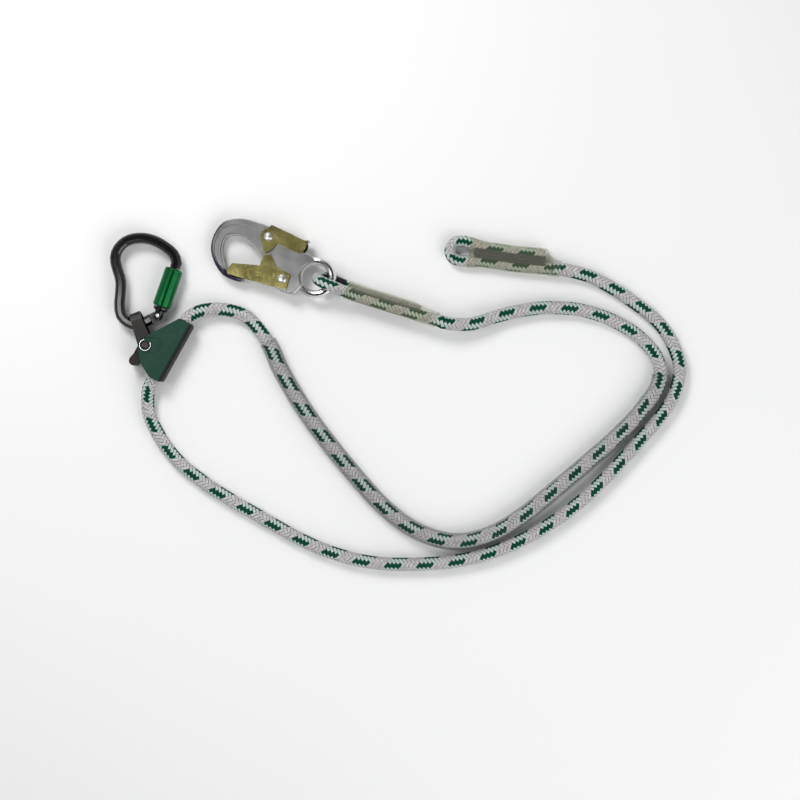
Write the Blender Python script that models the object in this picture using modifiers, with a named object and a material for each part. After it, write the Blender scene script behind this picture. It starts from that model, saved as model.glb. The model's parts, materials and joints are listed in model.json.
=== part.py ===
"""Tree climbing lanyard, lying on the floor at z = 0. Metres, +Z up.

A braided rope runs from one sewn eye, through a rope adjuster, to the other sewn eye. A locking
carabiner hangs in the adjuster's swinging bail, and a snap hook hangs in the first eye. The
origin is the middle of the underside of the metal parts' bounding box.
"""

import math

import bmesh
import bpy
from mathutils import Matrix, Vector

# Shared gaps, and the shift that puts the origin under the middle of the metal parts
ORIGIN_SHIFT = (-0.0002, 0.0004, 0.0)
FLOOR_GAP = 0.0001
FIT_GAP = 0.0003
WELD_DISTANCE = 0.000001
CUT_MARGIN = 0.002
SHARP_ANGLE = math.radians(35)

# Rope and its wear sleeve
ROPE_DIAMETER = 0.0127
ROPE_STEP = 0.0252
ROPE_ROUNDNESS = 4
CURVE_STEPS = 8
SLEEVE_OUTER_DIAMETER = 0.0170
SLEEVE_BORE_DIAMETER = 0.0146
SLEEVE_SIDES = 12
ROPE_REST = FLOOR_GAP + ROPE_DIAMETER / 2

# The rope's route: x, y and the height that it is lifted above its rest on the floor
BARE_RUN = (
    (0.2120, -0.0228, 0.0103),
    (0.2368, -0.0237, 0.0050),
    (0.2685, -0.0145, 0.0006),
    (0.3088, -0.0078, 0.0000),
    (0.3520, -0.0121, 0.0000),
    (0.3924, -0.0304, 0.0004),
    (0.4142, -0.0525, 0.0018),
)
SLEEVED_RUN = (
    (0.4199, -0.0722, 0.0022),
    (0.4165, -0.0856, 0.0022),
    (0.4085, -0.0975, 0.0022),
    (0.3885, -0.1214, 0.0022),
    (0.3171, -0.1838, 0.0022),
    (0.2829, -0.2107, 0.0022),
    (0.2541, -0.2265, 0.0022),
    (0.2224, -0.2324, 0.0022),
    (0.1905, -0.2245, 0.0022),
    (0.1603, -0.2047, 0.0022),
    (0.1226, -0.1643, 0.0022),
    (0.0813, -0.1109, 0.0022),
    (0.0552, -0.0673, 0.0022),
    (0.0429, -0.0408, 0.0022),
)
ADJUSTER_RUN = (
    (0.0218, -0.0163, 0.0012),
    (-0.0005, -0.0095, 0.0012),
    (-0.0214, -0.0110, 0.0028),
)
TAIL_RUN = (
    (-0.0718, -0.0878, 0.0026),
    (-0.0710, -0.1109, 0.0005),
    (-0.0497, -0.1481, 0.0000),
    (-0.0194, -0.1751, 0.0000),
    (0.0350, -0.2085, 0.0000),
    (0.0891, -0.2374, 0.0000),
    (0.1360, -0.2515, 0.0000),
    (0.1842, -0.2542, 0.0000),
    (0.2365, -0.2487, 0.0000),
    (0.2848, -0.2320, 0.0000),
    (0.3410, -0.1957, 0.0000),
    (0.3977, -0.1378, 0.0000),
    (0.4314, -0.0945, 0.0000),
    (0.4380, -0.0640, 0.0000),
    (0.4231, -0.0283, 0.0000),
    (0.3920, -0.0010, 0.0000),
    (0.3530, 0.0216, 0.0004),
)

# Sewn eyes: a thinner leg of rope, folded back and stitched, under a heat-shrunk cover
EYE_LEG_DIAMETER = 0.0110
EYE_STEP = 0.0058
COVER_WALL = 0.0005
COVER_ARC_STEPS = 7
SEAM_WIDTH = 0.0072
SEAM_HEIGHT = 0.0112
SEAM_ARC_STEPS = 6
SEAM_GAP = 0.0005
GUARD_BORE = 0.0119
GUARD_WALL = 0.00045
GUARD_SIDES = 14

# The hook's eye: origin at the hook's ring, x along the eye, y to its left
HOOK_EYE_PLACE = (0.0892, 0.0205)
HOOK_EYE_TURN = math.radians(-21.2)
HOOK_EYE_ROUTE = (
    (0.1145, 0.0033, 0.0182),
    (0.0950, 0.0016, 0.0184),
    (0.0750, 0.0000, 0.0185),
    (0.0550, -0.0013, 0.0185),
    (0.0390, -0.0022, 0.0186),
    (0.0310, -0.0025, 0.0196),
    (0.0252, -0.0026, 0.0226),
    (0.0195, -0.0027, 0.0262),
    (0.0122, -0.0027, 0.0268),
    (0.0051, -0.0019, 0.0238),
    (0.0022, 0.0000, 0.0167),
    (0.0051, 0.0019, 0.0096),
    (0.0122, 0.0027, 0.0066),
    (0.0270, 0.0027, 0.0070),
    (0.0390, 0.0028, 0.0070),
    (0.0550, 0.0037, 0.0070),
    (0.0750, 0.0050, 0.0070),
    (0.0920, 0.0063, 0.0070),
)
HOOK_EYE_ROPE = ((0.1153, 0.0034, 0.0182), (0.1250, 0.0042, 0.0178))
HOOK_EYE_SEAM = (0.0400, 0.0480, 0.0560, 0.0640, 0.0720, 0.0800, 0.0880)
HOOK_EYE_COVER = (
    (0.0315, 1.00, 0.0127),
    (0.0370, 1.00, 0.0123),
    (0.0450, 1.00, 0.0120),
    (0.0560, 1.00, 0.0120),
    (0.0700, 1.00, 0.0120),
    (0.0840, 1.00, 0.0120),
    (0.0940, 1.00, 0.0121),
    (0.1010, 0.70, 0.0126),
    (0.1070, 0.34, 0.0134),
    (0.1120, 0.12, 0.0137),
    (0.1228, 0.04, 0.0137),
)
HOOK_GUARD_FROM = 0.0070
HOOK_GUARD_TO = 0.0288

# The tail's eye: origin at the eye's hole, x along the eye, y to its left
TAIL_EYE_PLACE = (0.2288, 0.0466)
TAIL_EYE_TURN = math.radians(-8.5)
TAIL_EYE_ROUTE = (
    (0.0877, -0.0040, 0.0074),
    (0.0700, -0.0052, 0.0070),
    (0.0500, -0.0063, 0.0069),
    (0.0320, -0.0063, 0.0068),
    (0.0200, -0.0064, 0.0068),
    (0.0100, -0.0079, 0.0068),
    (0.0000, -0.0094, 0.0068),
    (-0.0080, -0.0070, 0.0068),
    (-0.0110, 0.0000, 0.0068),
    (-0.0080, 0.0070, 0.0068),
    (0.0000, 0.0094, 0.0068),
    (0.0100, 0.0079, 0.0068),
    (0.0200, 0.0064, 0.0068),
    (0.0320, 0.0063, 0.0068),
    (0.0500, 0.0063, 0.0069),
    (0.0700, 0.0074, 0.0070),
    (0.0800, 0.0078, 0.0070),
)
TAIL_EYE_ROPE = ((0.0985, -0.0033, 0.0074), (0.0886, -0.0039, 0.0075))
TAIL_EYE_SEAM = (0.0200, 0.0280, 0.0360, 0.0440, 0.0520, 0.0600, 0.0680, 0.0760)
TAIL_EYE_COVER = (
    (0.0070, 1.00, 0.0122),
    (0.0120, 1.00, 0.0122),
    (0.0180, 1.00, 0.0122),
    (0.0300, 1.00, 0.0122),
    (0.0460, 1.00, 0.0122),
    (0.0620, 1.00, 0.0122),
    (0.0740, 1.00, 0.0122),
    (0.0810, 1.00, 0.0122),
    (0.0850, 0.50, 0.0130),
    (0.0890, 0.18, 0.0136),
    (0.0960, 0.04, 0.0137),
)

# Rope adjuster: origin at its pin, x along the rope, y away from the rope
ADJUSTER_PLACE = (-0.0731, -0.0441, 0.0106)
ADJUSTER_TURN = math.radians(60.9)
ADJUSTER_THICKNESS = 0.0210
SHELL_SHEET = 0.0023
SHELL_BEND = 0.0032
SHELL_BACK = 0.0304
SHELL_SIDES = 28
SHELL_SECTION_STEPS = 4
SHELL_FROM = -0.0214
SHELL_TO = 0.0367
SHELL_DISCS = (
    (0.0, 0.0, 0.0070),
    (0.0344, -0.0189, 0.0042),
    (0.0344, -0.0265, 0.0041),
    (-0.0205, -0.0265, 0.0041),
    (-0.0203, -0.0192, 0.0044),
    (-0.0126, -0.0072, 0.0050),
)
ROPE_STRAIGHT = (
    (0.0415, -0.0214),
    (0.0300, -0.0212),
    (0.0100, -0.0212),
    (-0.0080, -0.0212),
    (-0.0220, -0.0212),
    (-0.0300, -0.0215),
)
PIN_DIAMETER = 0.0063
PIN_HOLE = 0.0069
PIN_HEAD_DIAMETER = 0.0100
PIN_HEAD_SINK = 0.0015
PIN_GROOVE_DIAMETER = 0.0050
PIN_SIDES = 24
RECESS_RADIUS = 0.0075
RECESS_DEPTH = 0.0009
RECESS_NEAR = 0.0015
RECESS_FAR = 0.0086
CLIP_OUTER_RADIUS = 0.0056
CLIP_INNER_RADIUS = 0.0028
CLIP_THICKNESS = 0.0010
CLIP_LIFT = 0.0003
CLIP_HEIGHT = ADJUSTER_THICKNESS / 2 - RECESS_DEPTH + CLIP_LIFT
PIN_PAST_CLIP = 0.0008
PIN_TOP = CLIP_HEIGHT + CLIP_THICKNESS + PIN_PAST_CLIP
CLIP_MOUTH = math.radians(70)
CLIP_STEPS = 20
CAM_THICKNESS = 0.0112
CAM_HUB_RADIUS = 0.0065
CAM_FACE = 0.0142
CAM_SPIRAL = math.tan(math.radians(13))
CAM_TOOTH_DEPTH = 0.0008
CAM_TOOTH_COUNT = 9
CAM_FACE_FROM = math.radians(-118)
CAM_FACE_TO = math.radians(-50)
CAM_HUB_SWEEP = math.radians(190)
CAM_ARM = ((0.0, 0.0, 0.0065), (-0.0150, 0.0022, 0.0042))
CAM_NUB = ((-0.0160, 0.0022, 0.0046), (-0.0184, 0.0026, 0.0046))
CAM_NUB_THICKNESS = 0.0150
CAM_POCKET_RADIUS = 0.0058
CAM_POCKET_DEPTH = 0.0036
CAM_SPRING_RADIUS = 0.0046
CAM_SPRING_WIRE = 0.0009
CAM_SPRING_TURNS = 2.25
CAM_SPRING_PITCH = 0.0009
COIL_TURN_STEPS = 10
COIL_ROUNDNESS = 1

# Bail: a bent strap on the adjuster's pin, x along its legs
BAIL_TURN = math.radians(49.1)
BAIL_STRAP = 0.0016
BAIL_INNER = 0.0063
BAIL_BIGHT = 0.0255
BAIL_EYE_RADIUS = 0.0070
BAIL_BIGHT_WIDTH = 0.0102
BAIL_BEND_STEPS = 10

# Carabiner: origin at the centre of its small bend, x and y as on the floor
CARABINER_HOLD = (-0.0805, -0.0239, 0.0101)
CARABINER_LENGTH = 0.0927
CARABINER_ROD = 0.0103
CARABINER_BEND = CARABINER_LENGTH * 163 / 927
CARABINER_BEND_FROM = math.radians(-62)
CARABINER_BEND_TO = math.radians(-116)
CARABINER_BEND_STEPS = 7
CARABINER_SHARES = (
    (-0.152, -0.088), (-0.172, 0.027), (-0.162, 0.162), (-0.161, 0.286),
    (-0.198, 0.410), (-0.216, 0.514), (-0.185, 0.607), (-0.093, 0.690),
    (0.052, 0.719), (0.186, 0.692), (0.308, 0.623), (0.393, 0.545),
)
CARABINER_FLAT = 0.0044
CARABINER_GROOVE = 0.0011
CARABINER_GROOVE_FADE = 0.14
CARABINER_RAIL_STEPS = 5
CARABINER_STATION = 0.0047
CARABINER_JOINT = (CARABINER_LENGTH * 28 / 927, CARABINER_LENGTH * -161 / 927)
CARABINER_PLACE = (CARABINER_HOLD[0] - CARABINER_JOINT[0], CARABINER_HOLD[1] - CARABINER_JOINT[1],
                   CARABINER_HOLD[2])
GATE_PLACE = (CARABINER_LENGTH * 212 / 927, CARABINER_LENGTH * -77 / 927)
GATE_TURN = math.radians(70.8)
GATE_DIAMETER = 0.0095
GATE_SIDES = 24
GATE_LENGTH = CARABINER_LENGTH * 478 / 927
NOSE_GAP = 0.0006
NOSE_AT = GATE_LENGTH + NOSE_GAP
NOSE_LEAD = 0.0048
TANG_THICKNESS = 0.0045
TANG_RADIUS = 0.0046
TANG_REACH = 0.0078
FORK_SLOT = 0.0051
FORK_DEPTH = 0.0062
TONGUE_THICKNESS = 0.0030
TONGUE_WIDTH = 0.0056
TONGUE_LENGTH = 0.0034
NOSE_SLOT = 0.0038
NOSE_SLOT_DEPTH = 0.0042
NOSE_SLOT_WALL = 0.0034
RIVET_DIAMETER = 0.0032
RIVET_HOLE = 0.0038
GATE_BORE = 0.0042
GATE_BORE_DEPTH = GATE_LENGTH * 240 / 478
PLUNGER_DIAMETER = 0.0035
PLUNGER_FROM = 0.0050
PLUNGER_TO = 0.0120
RETURN_SPRING_RADIUS = 0.0013
RETURN_SPRING_WIRE = 0.0006
RETURN_SPRING_TO = GATE_LENGTH * 234 / 478
RETURN_SPRING_TURNS = 5
COLLAR_FROM = 0.0047
COLLAR_TO = 0.0084
COLLAR_WALL = 0.0018
COLLAR_BORE = GATE_DIAMETER / 2 + 0.00045
COLLAR_RADIUS = COLLAR_BORE + COLLAR_WALL
COLLAR_CHAMFER = 0.0014
BARREL_FROM = 0.0087
BARREL_SHORT = 0.0008
BARREL_TO = GATE_LENGTH - BARREL_SHORT
BARREL_WALL = 0.0018
BARREL_BORE = GATE_DIAMETER / 2 + 0.00215
BARREL_RADIUS = BARREL_BORE + BARREL_WALL
BARREL_LIP_BORE = GATE_DIAMETER / 2 + 0.00055
BARREL_LIP = 0.0015
BARREL_CHAMFER = 0.0012
LOCK_SPRING_RADIUS = GATE_DIAMETER / 2 + 0.00105
LOCK_SPRING_WIRE = 0.0009
LOCK_SPRING_FROM = 0.0112
LOCK_SPRING_TO = GATE_LENGTH * 280 / 478
LOCK_SPRING_TURNS = 5
GUIDE_PIN_AT = GATE_LENGTH * 340 / 478
GUIDE_PIN_DIAMETER = 0.0018
GUIDE_PIN_HOLE = 0.0024
GUIDE_PIN_REACH = GATE_DIAMETER / 2 + 0.00155

# Snap hook: origin at its ring's centre, x toward the bend, y toward the gate
HOOK_PLACE = (0.0892, 0.0205, 0.0155)
HOOK_TURN = math.radians(164.5)
HOOK_TILT = math.radians(5.7)
HOOK_RING_RADIUS = 0.01597
HOOK_RING_ROD = 0.00744
HOOK_RING_SIDES = 32
HOOK_RING_ROD_SIDES = 12
HOOK_JOINT_TURN = math.radians(174.3)
HOOK_REACH = 0.1064
HOOK_THICKNESS = 0.0095
HOOK_EDGE = 0.0014
HOOK_CURVE_STEPS = 2
HOOK_NECK_UNDER = (0.0045752, -0.0159600)
HOOK_NECK_OVER = (0.0102144, 0.0119168)
HOOK_OUTER_SHARES = (
    (0.113, -0.186), (0.207, -0.192), (0.320, -0.216), (0.414, -0.269),
    (0.479, -0.314), (0.548, -0.336), (0.645, -0.343), (0.761, -0.346), (0.852, -0.327),
    (0.936, -0.273), (0.985, -0.180), (1.000, -0.075), (0.985, 0.010), (0.936, 0.094),
    (0.878, 0.156), (0.813, 0.199), (0.733, 0.217), (0.660, 0.219),
)
HOOK_LEDGE_SHARES = ((0.630, 0.206), (0.626, 0.181), (0.780, 0.181), (0.796, 0.165))
HOOK_INNER_SHARES = (
    (0.812, 0.130), (0.840, 0.079), (0.872, 0.024), (0.889, -0.034), (0.892, -0.102),
    (0.870, -0.152), (0.820, -0.178), (0.742, -0.179), (0.654, -0.147), (0.577, -0.093),
    (0.515, -0.039), (0.488, 0.019), (0.443, 0.066), (0.391, 0.097), (0.366, 0.133),
    (0.343, 0.172), (0.306, 0.198), (0.235, 0.210), (0.166, 0.205), (0.128, 0.168),
)
HOOK_EYE_WALL = 0.0145
HOOK_EYE_WALL_FROM = math.radians(50)
HOOK_EYE_WALL_TO = math.radians(-70)
HOOK_EYE_WALL_STEPS = 8
HOOK_CHANNEL_SHARES = (
    (0.640, -0.245), (0.742, -0.262), (0.840, -0.248), (0.915, -0.190),
    (0.944, -0.095), (0.934, -0.010), (0.893, 0.066), (0.845, 0.128),
)
HOOK_CHANNEL_WIDTH = 0.0052
HOOK_CHANNEL_DEPTH = 0.0014
PIVOT_HOLE = 0.0052
PIVOT_RIVET = 0.0045
PIVOT_HEAD = 0.0084
PIVOT_HEAD_HEIGHT = 0.0009
PIVOT_CROWN = 0.667
PIVOT_BRIM = 0.75
PIVOT_SIDES = 20
CHEEK_INNER = 0.0051
CHEEK_SHEET = 0.0016
HOOK_GATE_PIVOT = (HOOK_REACH * 300 / 1064, HOOK_REACH * 98 / 1064)
HOOK_GATE_SHARES = (
    (0.219, 0.036), (0.362, 0.005), (0.437, -0.088), (0.492, -0.075), (0.502, -0.065),
    (0.509, 0.028), (0.758, 0.075), (0.787, 0.141), (0.774, 0.177), (0.338, 0.177),
    (0.223, 0.176),
)
HOOK_GATE_WEB_FROM = HOOK_REACH * 410 / 1064
HOOK_GATE_WEB_TO = HOOK_REACH * 822 / 1064
HOOK_GATE_WEB_TOP = HOOK_REACH * 186 / 1064
LEVER_PIVOT = (HOOK_REACH * 537 / 1064, HOOK_REACH * -255 / 1064)
LEVER_SHARES = (
    (0.501, -0.349), (0.338, -0.320), (0.176, -0.289), (0.154, -0.269), (0.150, -0.230),
    (0.164, -0.193), (0.204, -0.167), (0.244, -0.169), (0.329, -0.186), (0.420, -0.202),
    (0.429, -0.148), (0.485, -0.088), (0.502, -0.086), (0.528, -0.141), (0.567, -0.203),
    (0.577, -0.240), (0.568, -0.276), (0.538, -0.306),
)
LEVER_BACK_SHARES = (
    (0.500, -0.348), (0.338, -0.319), (0.190, -0.291), (0.165, -0.293), (0.148, -0.303),
    (0.143, -0.290), (0.163, -0.279), (0.192, -0.276), (0.340, -0.304), (0.498, -0.332),
)
SPRING_SLOT_RADIUS = 0.0054
SPRING_SLOT_WIDTH = 0.0042
HOOK_GATE_SLOT_END = (HOOK_REACH * 420 / 1064, HOOK_REACH * 170 / 1064)
LEVER_SLOT_END = (HOOK_REACH * 450 / 1064, HOOK_REACH * -360 / 1064)
PIVOT_SPRING_RADIUS = 0.0041
PIVOT_SPRING_WIRE = 0.0010
PIVOT_SPRING_PITCH = 0.0011
PIVOT_SPRING_TURNS = 2.5


def clear_scene():
    for old in list(bpy.data.objects):
        bpy.data.objects.remove(old)


def new_group(name):
    group = bpy.data.collections.new(name)
    bpy.context.scene.collection.children.link(group)
    return group


def material(name, colour, roughness, metallic=0.0):
    made = bpy.data.materials.new(name)
    made.use_nodes = True
    surface = made.node_tree.nodes["Principled BSDF"]
    surface.inputs["Base Color"].default_value = (*colour, 1.0)
    surface.inputs["Roughness"].default_value = roughness
    surface.inputs["Metallic"].default_value = metallic
    return made


clear_scene()
PARTS = new_group("tree_climbing_lanyard")
CUTTERS = new_group("cutters")

ROPE_GREY = material("braided_rope", (0.52, 0.53, 0.50), 0.85)
CLEAR_SLEEVE = material("clear_sleeve", (0.62, 0.63, 0.58), 0.30)
SHRINK_COVER = material("shrink_cover", (0.66, 0.64, 0.52), 0.35)
STITCH_GREY = material("stitching", (0.12, 0.12, 0.12), 0.80)
GUARD_BLACK = material("guard", (0.02, 0.02, 0.02), 0.55)
GREEN_PAINT = material("green_paint", (0.03, 0.16, 0.10), 0.40, 0.3)
DARK_CAST = material("dark_cast", (0.06, 0.05, 0.045), 0.50, 0.6)
OLIVE_STRAP = material("olive_strap", (0.13, 0.13, 0.07), 0.40, 0.8)
BRIGHT_STEEL = material("bright_steel", (0.70, 0.70, 0.70), 0.25, 1.0)
BLACK_ALLOY = material("black_alloy", (0.02, 0.02, 0.022), 0.35, 0.6)
GREEN_ALLOY = material("green_alloy", (0.10, 0.45, 0.10), 0.35, 0.6)
FORGED_STEEL = material("forged_steel", (0.34, 0.34, 0.33), 0.40, 0.9)
ZINC_STEEL = material("zinc_steel", (0.50, 0.45, 0.28), 0.35, 0.9)


def frame(name, parent=None, place=(0.0, 0.0, 0.0), turn=0.0, tilt=0.0, pivot=(0.0, 0.0, 0.0)):
    """An empty for parts drawn round an origin; pivot is the spot of it that lies on the empty."""
    made = bpy.data.objects.new(name, None)
    PARTS.objects.link(made)
    spot = Vector(place)
    if parent is not None:
        made.parent = parent
        spot -= Vector(parent["pivot"])
    turned_by = Matrix.Rotation(turn, 4, "Z") @ Matrix.Rotation(tilt, 4, "Y")
    made.matrix_basis = Matrix.Translation(spot) @ turned_by
    made["pivot"] = list(pivot)
    return made


def hang(obj, holder):
    obj.parent = holder
    obj.location = -Vector(holder["pivot"])


def part(name, mesh, finish, holder):
    mesh.name = name
    mesh.materials.clear()
    mesh.materials.append(finish)
    mesh.shade_smooth()
    mesh.set_sharp_from_angle(angle=SHARP_ANGLE)
    made = bpy.data.objects.new(name, mesh)
    PARTS.objects.link(made)
    hang(made, holder)
    return made


def shape_tool(name, mesh, holder):
    made = bpy.data.objects.new(name, mesh)
    CUTTERS.objects.link(made)
    made.hide_render = True
    made.display_type = "WIRE"
    hang(made, holder)
    return made


def shaped(obj, operation, name, mesh):
    """Cuts, joins or crosses the part with a tool drawn round the same origin."""
    step = obj.modifiers.new(name, "BOOLEAN")
    step.operation = operation
    step.solver = "EXACT"
    step.object = shape_tool(name, mesh, obj.parent)


def tidied(mesh):
    """Welds loose caps and turns the faces outward."""
    shape = bmesh.new()
    shape.from_mesh(mesh)
    bmesh.ops.remove_doubles(shape, verts=shape.verts, dist=WELD_DISTANCE)
    bmesh.ops.recalc_face_normals(shape, faces=shape.faces)
    shape.to_mesh(mesh)
    shape.free()
    return mesh


def baked(data):
    """The closed mesh of a curve, or of a profile with its modifiers."""
    maker = data if isinstance(data, bpy.types.Object) else bpy.data.objects.new("maker", data)
    if not maker.users_collection:
        CUTTERS.objects.link(maker)
    graph = bpy.context.evaluated_depsgraph_get()
    mesh = tidied(bpy.data.meshes.new_from_object(maker.evaluated_get(graph)))
    bpy.data.objects.remove(maker)
    return mesh


def moved(mesh, matrix):
    mesh.transform(matrix)
    return mesh


def at(x=0.0, y=0.0, z=0.0):
    return Matrix.Translation((x, y, z))


def smooth(points, steps):
    """Points of a curve that runs through all the given ones."""
    knots = [Vector(point) for point in points]
    knots = [2 * knots[0] - knots[1]] + knots + [2 * knots[-1] - knots[-2]]
    curve = []
    for a, b, c, d in zip(knots, knots[1:], knots[2:], knots[3:]):
        before, here, after = (math.sqrt(chord.length) for chord in (b - a, c - b, d - c))
        leave = ((b - a) / before - (c - a) / (before + here) + (c - b) / here) * here
        arrive = ((c - b) / here - (d - b) / (here + after) + (d - c) / after) * here
        for step in range(steps):
            t = step / steps
            curve.append((2 * t**3 - 3 * t**2 + 1) * b + (t**3 - 2 * t**2 + t) * leave
                         + (3 * t**2 - 2 * t**3) * c + (t**3 - t**2) * arrive)
    curve.append(knots[-2])
    return curve


def evenly(curve, step):
    """The curve again, with points about one step apart."""
    reach = [0.0]
    for a, b in zip(curve, curve[1:]):
        reach.append(reach[-1] + (b - a).length)
    count = max(1, round(reach[-1] / step))
    spaced, index = [], 0
    for number in range(count + 1):
        goal = reach[-1] * number / count
        while index < len(curve) - 2 and reach[index + 1] < goal:
            index += 1
        share = (goal - reach[index]) / (reach[index + 1] - reach[index])
        spaced.append(curve[index].lerp(curve[index + 1], min(share, 1.0)))
    return spaced


def circle(x, y, radius, sides):
    turns = [math.tau * side / sides for side in range(sides)]
    return [(x + radius * math.cos(turn), y + radius * math.sin(turn)) for turn in turns]


def arc(x, y, radius, start, end, steps):
    turns = [start + (end - start) * step / steps for step in range(steps + 1)]
    return [(x + radius * math.cos(turn), y + radius * math.sin(turn)) for turn in turns]


def hull(discs, sides=SHELL_SIDES):
    """Outline of a band stretched round discs, each given as x, y and radius."""
    spots = sorted({spot for x, y, radius in discs for spot in circle(x, y, radius, sides)})
    outline = []
    for row in (spots, spots[::-1]):
        side = []
        for spot in row:
            while len(side) > 1:
                first, last = Vector(side[-1]) - Vector(side[-2]), Vector(spot) - Vector(side[-1])
                if first.x * last.y - first.y * last.x > WELD_DISTANCE**2:
                    break
                side.pop()
            side.append(spot)
        outline += side[:-1]
    return outline


def plate(outline, bottom, top, rounding=0.0):
    """A flat plate between two heights, its outline's edges rounded where asked."""
    curve = bpy.data.curves.new("outline", "CURVE")
    curve.dimensions = "2D"
    curve.fill_mode = "BOTH"
    curve.extrude = (top - bottom) / 2 - rounding
    curve.bevel_depth = rounding
    curve.bevel_resolution = 1
    curve.offset = -rounding
    spline = curve.splines.new("POLY")
    spline.points.add(len(outline) - 1)
    for point, spot in zip(spline.points, outline):
        point.co = (spot[0], spot[1], 0.0, 1.0)
    spline.use_cyclic_u = True
    return moved(baked(curve), at(z=(top + bottom) / 2))


def tube(points, diameter, roundness=ROPE_ROUNDNESS):
    """A round bar with closed ends along the points."""
    curve = bpy.data.curves.new("route", "CURVE")
    curve.dimensions = "3D"
    curve.bevel_depth = diameter / 2
    curve.bevel_resolution = roundness
    curve.use_fill_caps = True
    spline = curve.splines.new("POLY")
    spline.points.add(len(points) - 1)
    for point, spot in zip(spline.points, points):
        point.co = (*spot, 1.0)
    return baked(curve)


def turned(profile, sides, ring=False):
    """A solid turned about z from radius and height pairs, listed from top to bottom."""
    mesh = bpy.data.meshes.new("profile")
    edges = [(index, index + 1) for index in range(len(profile) - 1)]
    if ring:
        edges.append((len(profile) - 1, 0))
    mesh.from_pydata([(radius, 0.0, height) for radius, height in profile], edges, [])
    maker = bpy.data.objects.new("maker", mesh)
    screw = maker.modifiers.new("turn", "SCREW")
    screw.steps = sides
    screw.render_steps = sides
    screw.use_merge_vertices = True
    screw.merge_threshold = WELD_DISTANCE
    return baked(maker)


def drum(radius, bottom, top, sides=PIN_SIDES):
    return turned(((0.0, top), (radius, top), (radius, bottom), (0.0, bottom)), sides)


def stations(points, up=Vector((0.0, 0.0, 1.0))):
    """Where each ring of a sweep stands: its middle, sideways and upward directions, and mitre."""
    places = []
    for index, point in enumerate(points):
        back = (point - points[index - 1]).normalized() if index else None
        on = (points[index + 1] - point).normalized() if index < len(points) - 1 else None
        along = ((back or on) + (on or back)).normalized()
        side = up.cross(along).normalized()
        mitre = 1.0 if back is None or on is None else max(0.5, along.dot(on))
        places.append((point, side, along.cross(side), 1.0 / mitre))
    return places


def loft(rings, inner_rings=None):
    """A skin over rings of points: a solid with flat ends, or a sleeve with open ends."""
    shape = bmesh.new()
    rows = [[shape.verts.new(spot) for spot in ring] for ring in rings]
    if inner_rings is not None:
        rows += [[shape.verts.new(spot) for spot in ring] for ring in reversed(inner_rings)]
        rows.append(rows[0])
    for row, following in zip(rows, rows[1:]):
        for index in range(len(row)):
            shape.faces.new((row[index - 1], row[index], following[index], following[index - 1]))
    if inner_rings is None:
        shape.faces.new(rows[0])
        shape.faces.new(rows[-1])
    mesh = bpy.data.meshes.new("loft")
    shape.to_mesh(mesh)
    shape.free()
    return tidied(mesh)


def swept_ring(place, section):
    middle, side, rise, mitre = place
    return [middle + side * (x * mitre) + rise * y for x, y in section]


def coil(radius, wire, start, end, turns, turn_steps=COIL_TURN_STEPS):
    """A round-wire coil about z."""
    count = round(turns * turn_steps)
    points = []
    for step in range(count + 1):
        angle = math.tau * step / turn_steps
        height = start + (end - start) * step / count
        points.append((radius * math.cos(angle), radius * math.sin(angle), height))
    return tube(points, wire, COIL_ROUNDNESS)


def shares(table, size):
    return [(x * size, y * size) for x, y in table]


LIE_ALONG_X = Matrix(((0, 0, 1, 0), (1, 0, 0, 0), (0, 1, 0, 0), (0, 0, 0, 1)))


def on_floor(run):
    return [Vector((x, y, ROPE_REST + lift)) for x, y, lift in run]


def rope_stretches():
    """The rope's middle line, in seven stretches: held ones, and free ones between them."""
    adjuster = Matrix.Translation(ADJUSTER_PLACE) @ Matrix.Rotation(ADJUSTER_TURN, 4, "Z")
    hook_eye = Matrix.Translation((*HOOK_EYE_PLACE, 0.0)) @ Matrix.Rotation(HOOK_EYE_TURN, 4, "Z")
    tail_eye = Matrix.Translation((*TAIL_EYE_PLACE, 0.0)) @ Matrix.Rotation(TAIL_EYE_TURN, 4, "Z")
    held = (
        [hook_eye @ Vector(point) for point in HOOK_EYE_ROPE],
        on_floor(SLEEVED_RUN),
        [adjuster @ Vector((along, across, 0.0)) for along, across in ROPE_STRAIGHT],
        [tail_eye @ Vector(point) for point in TAIL_EYE_ROPE],
    )
    free = (on_floor(BARE_RUN), on_floor(ADJUSTER_RUN), on_floor(TAIL_RUN), [])
    knots, cuts = [], []
    for fixed, loose in zip(held, free):
        cuts += [len(knots), len(knots) + len(fixed) - 1]
        knots += fixed + loose
    curve = smooth(knots, CURVE_STEPS)
    return [evenly(curve[a * CURVE_STEPS:b * CURVE_STEPS + 1], ROPE_STEP) for a, b in zip(cuts, cuts[1:])]


def sleeve_mesh(places, bore, wall, sides):
    outer = [swept_ring(place, circle(0.0, 0.0, bore / 2 + wall, sides)) for place in places]
    inner = [swept_ring(place, circle(0.0, 0.0, bore / 2, sides)) for place in places]
    return loft(outer, inner)


def add_rope(holder):
    stretches = rope_stretches()
    start, bare, sleeved = stretches[:3]
    route = start + bare[1:] + [point for stretch in stretches[2:] for point in stretch[1:]]
    part("rope", tube(route, ROPE_DIAMETER), ROPE_GREY, holder)
    wall = (SLEEVE_OUTER_DIAMETER - SLEEVE_BORE_DIAMETER) / 2
    first = len(start) + len(bare) - 2
    places = stations(route)[first:first + len(sleeved)]
    mesh = sleeve_mesh(places, SLEEVE_BORE_DIAMETER, wall, SLEEVE_SIDES)
    part("wear_sleeve", mesh, CLEAR_SLEEVE, holder)


def leg_at(leg, along):
    """The leg's middle at a distance along the eye, past its ends too."""
    row = sorted(leg, key=lambda point: point.x)
    index = 1
    while index < len(row) - 1 and row[index].x < along:
        index += 1
    low, high = row[index - 1], row[index]
    return low + (high - low) * ((along - low.x) / (high.x - low.x))


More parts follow.
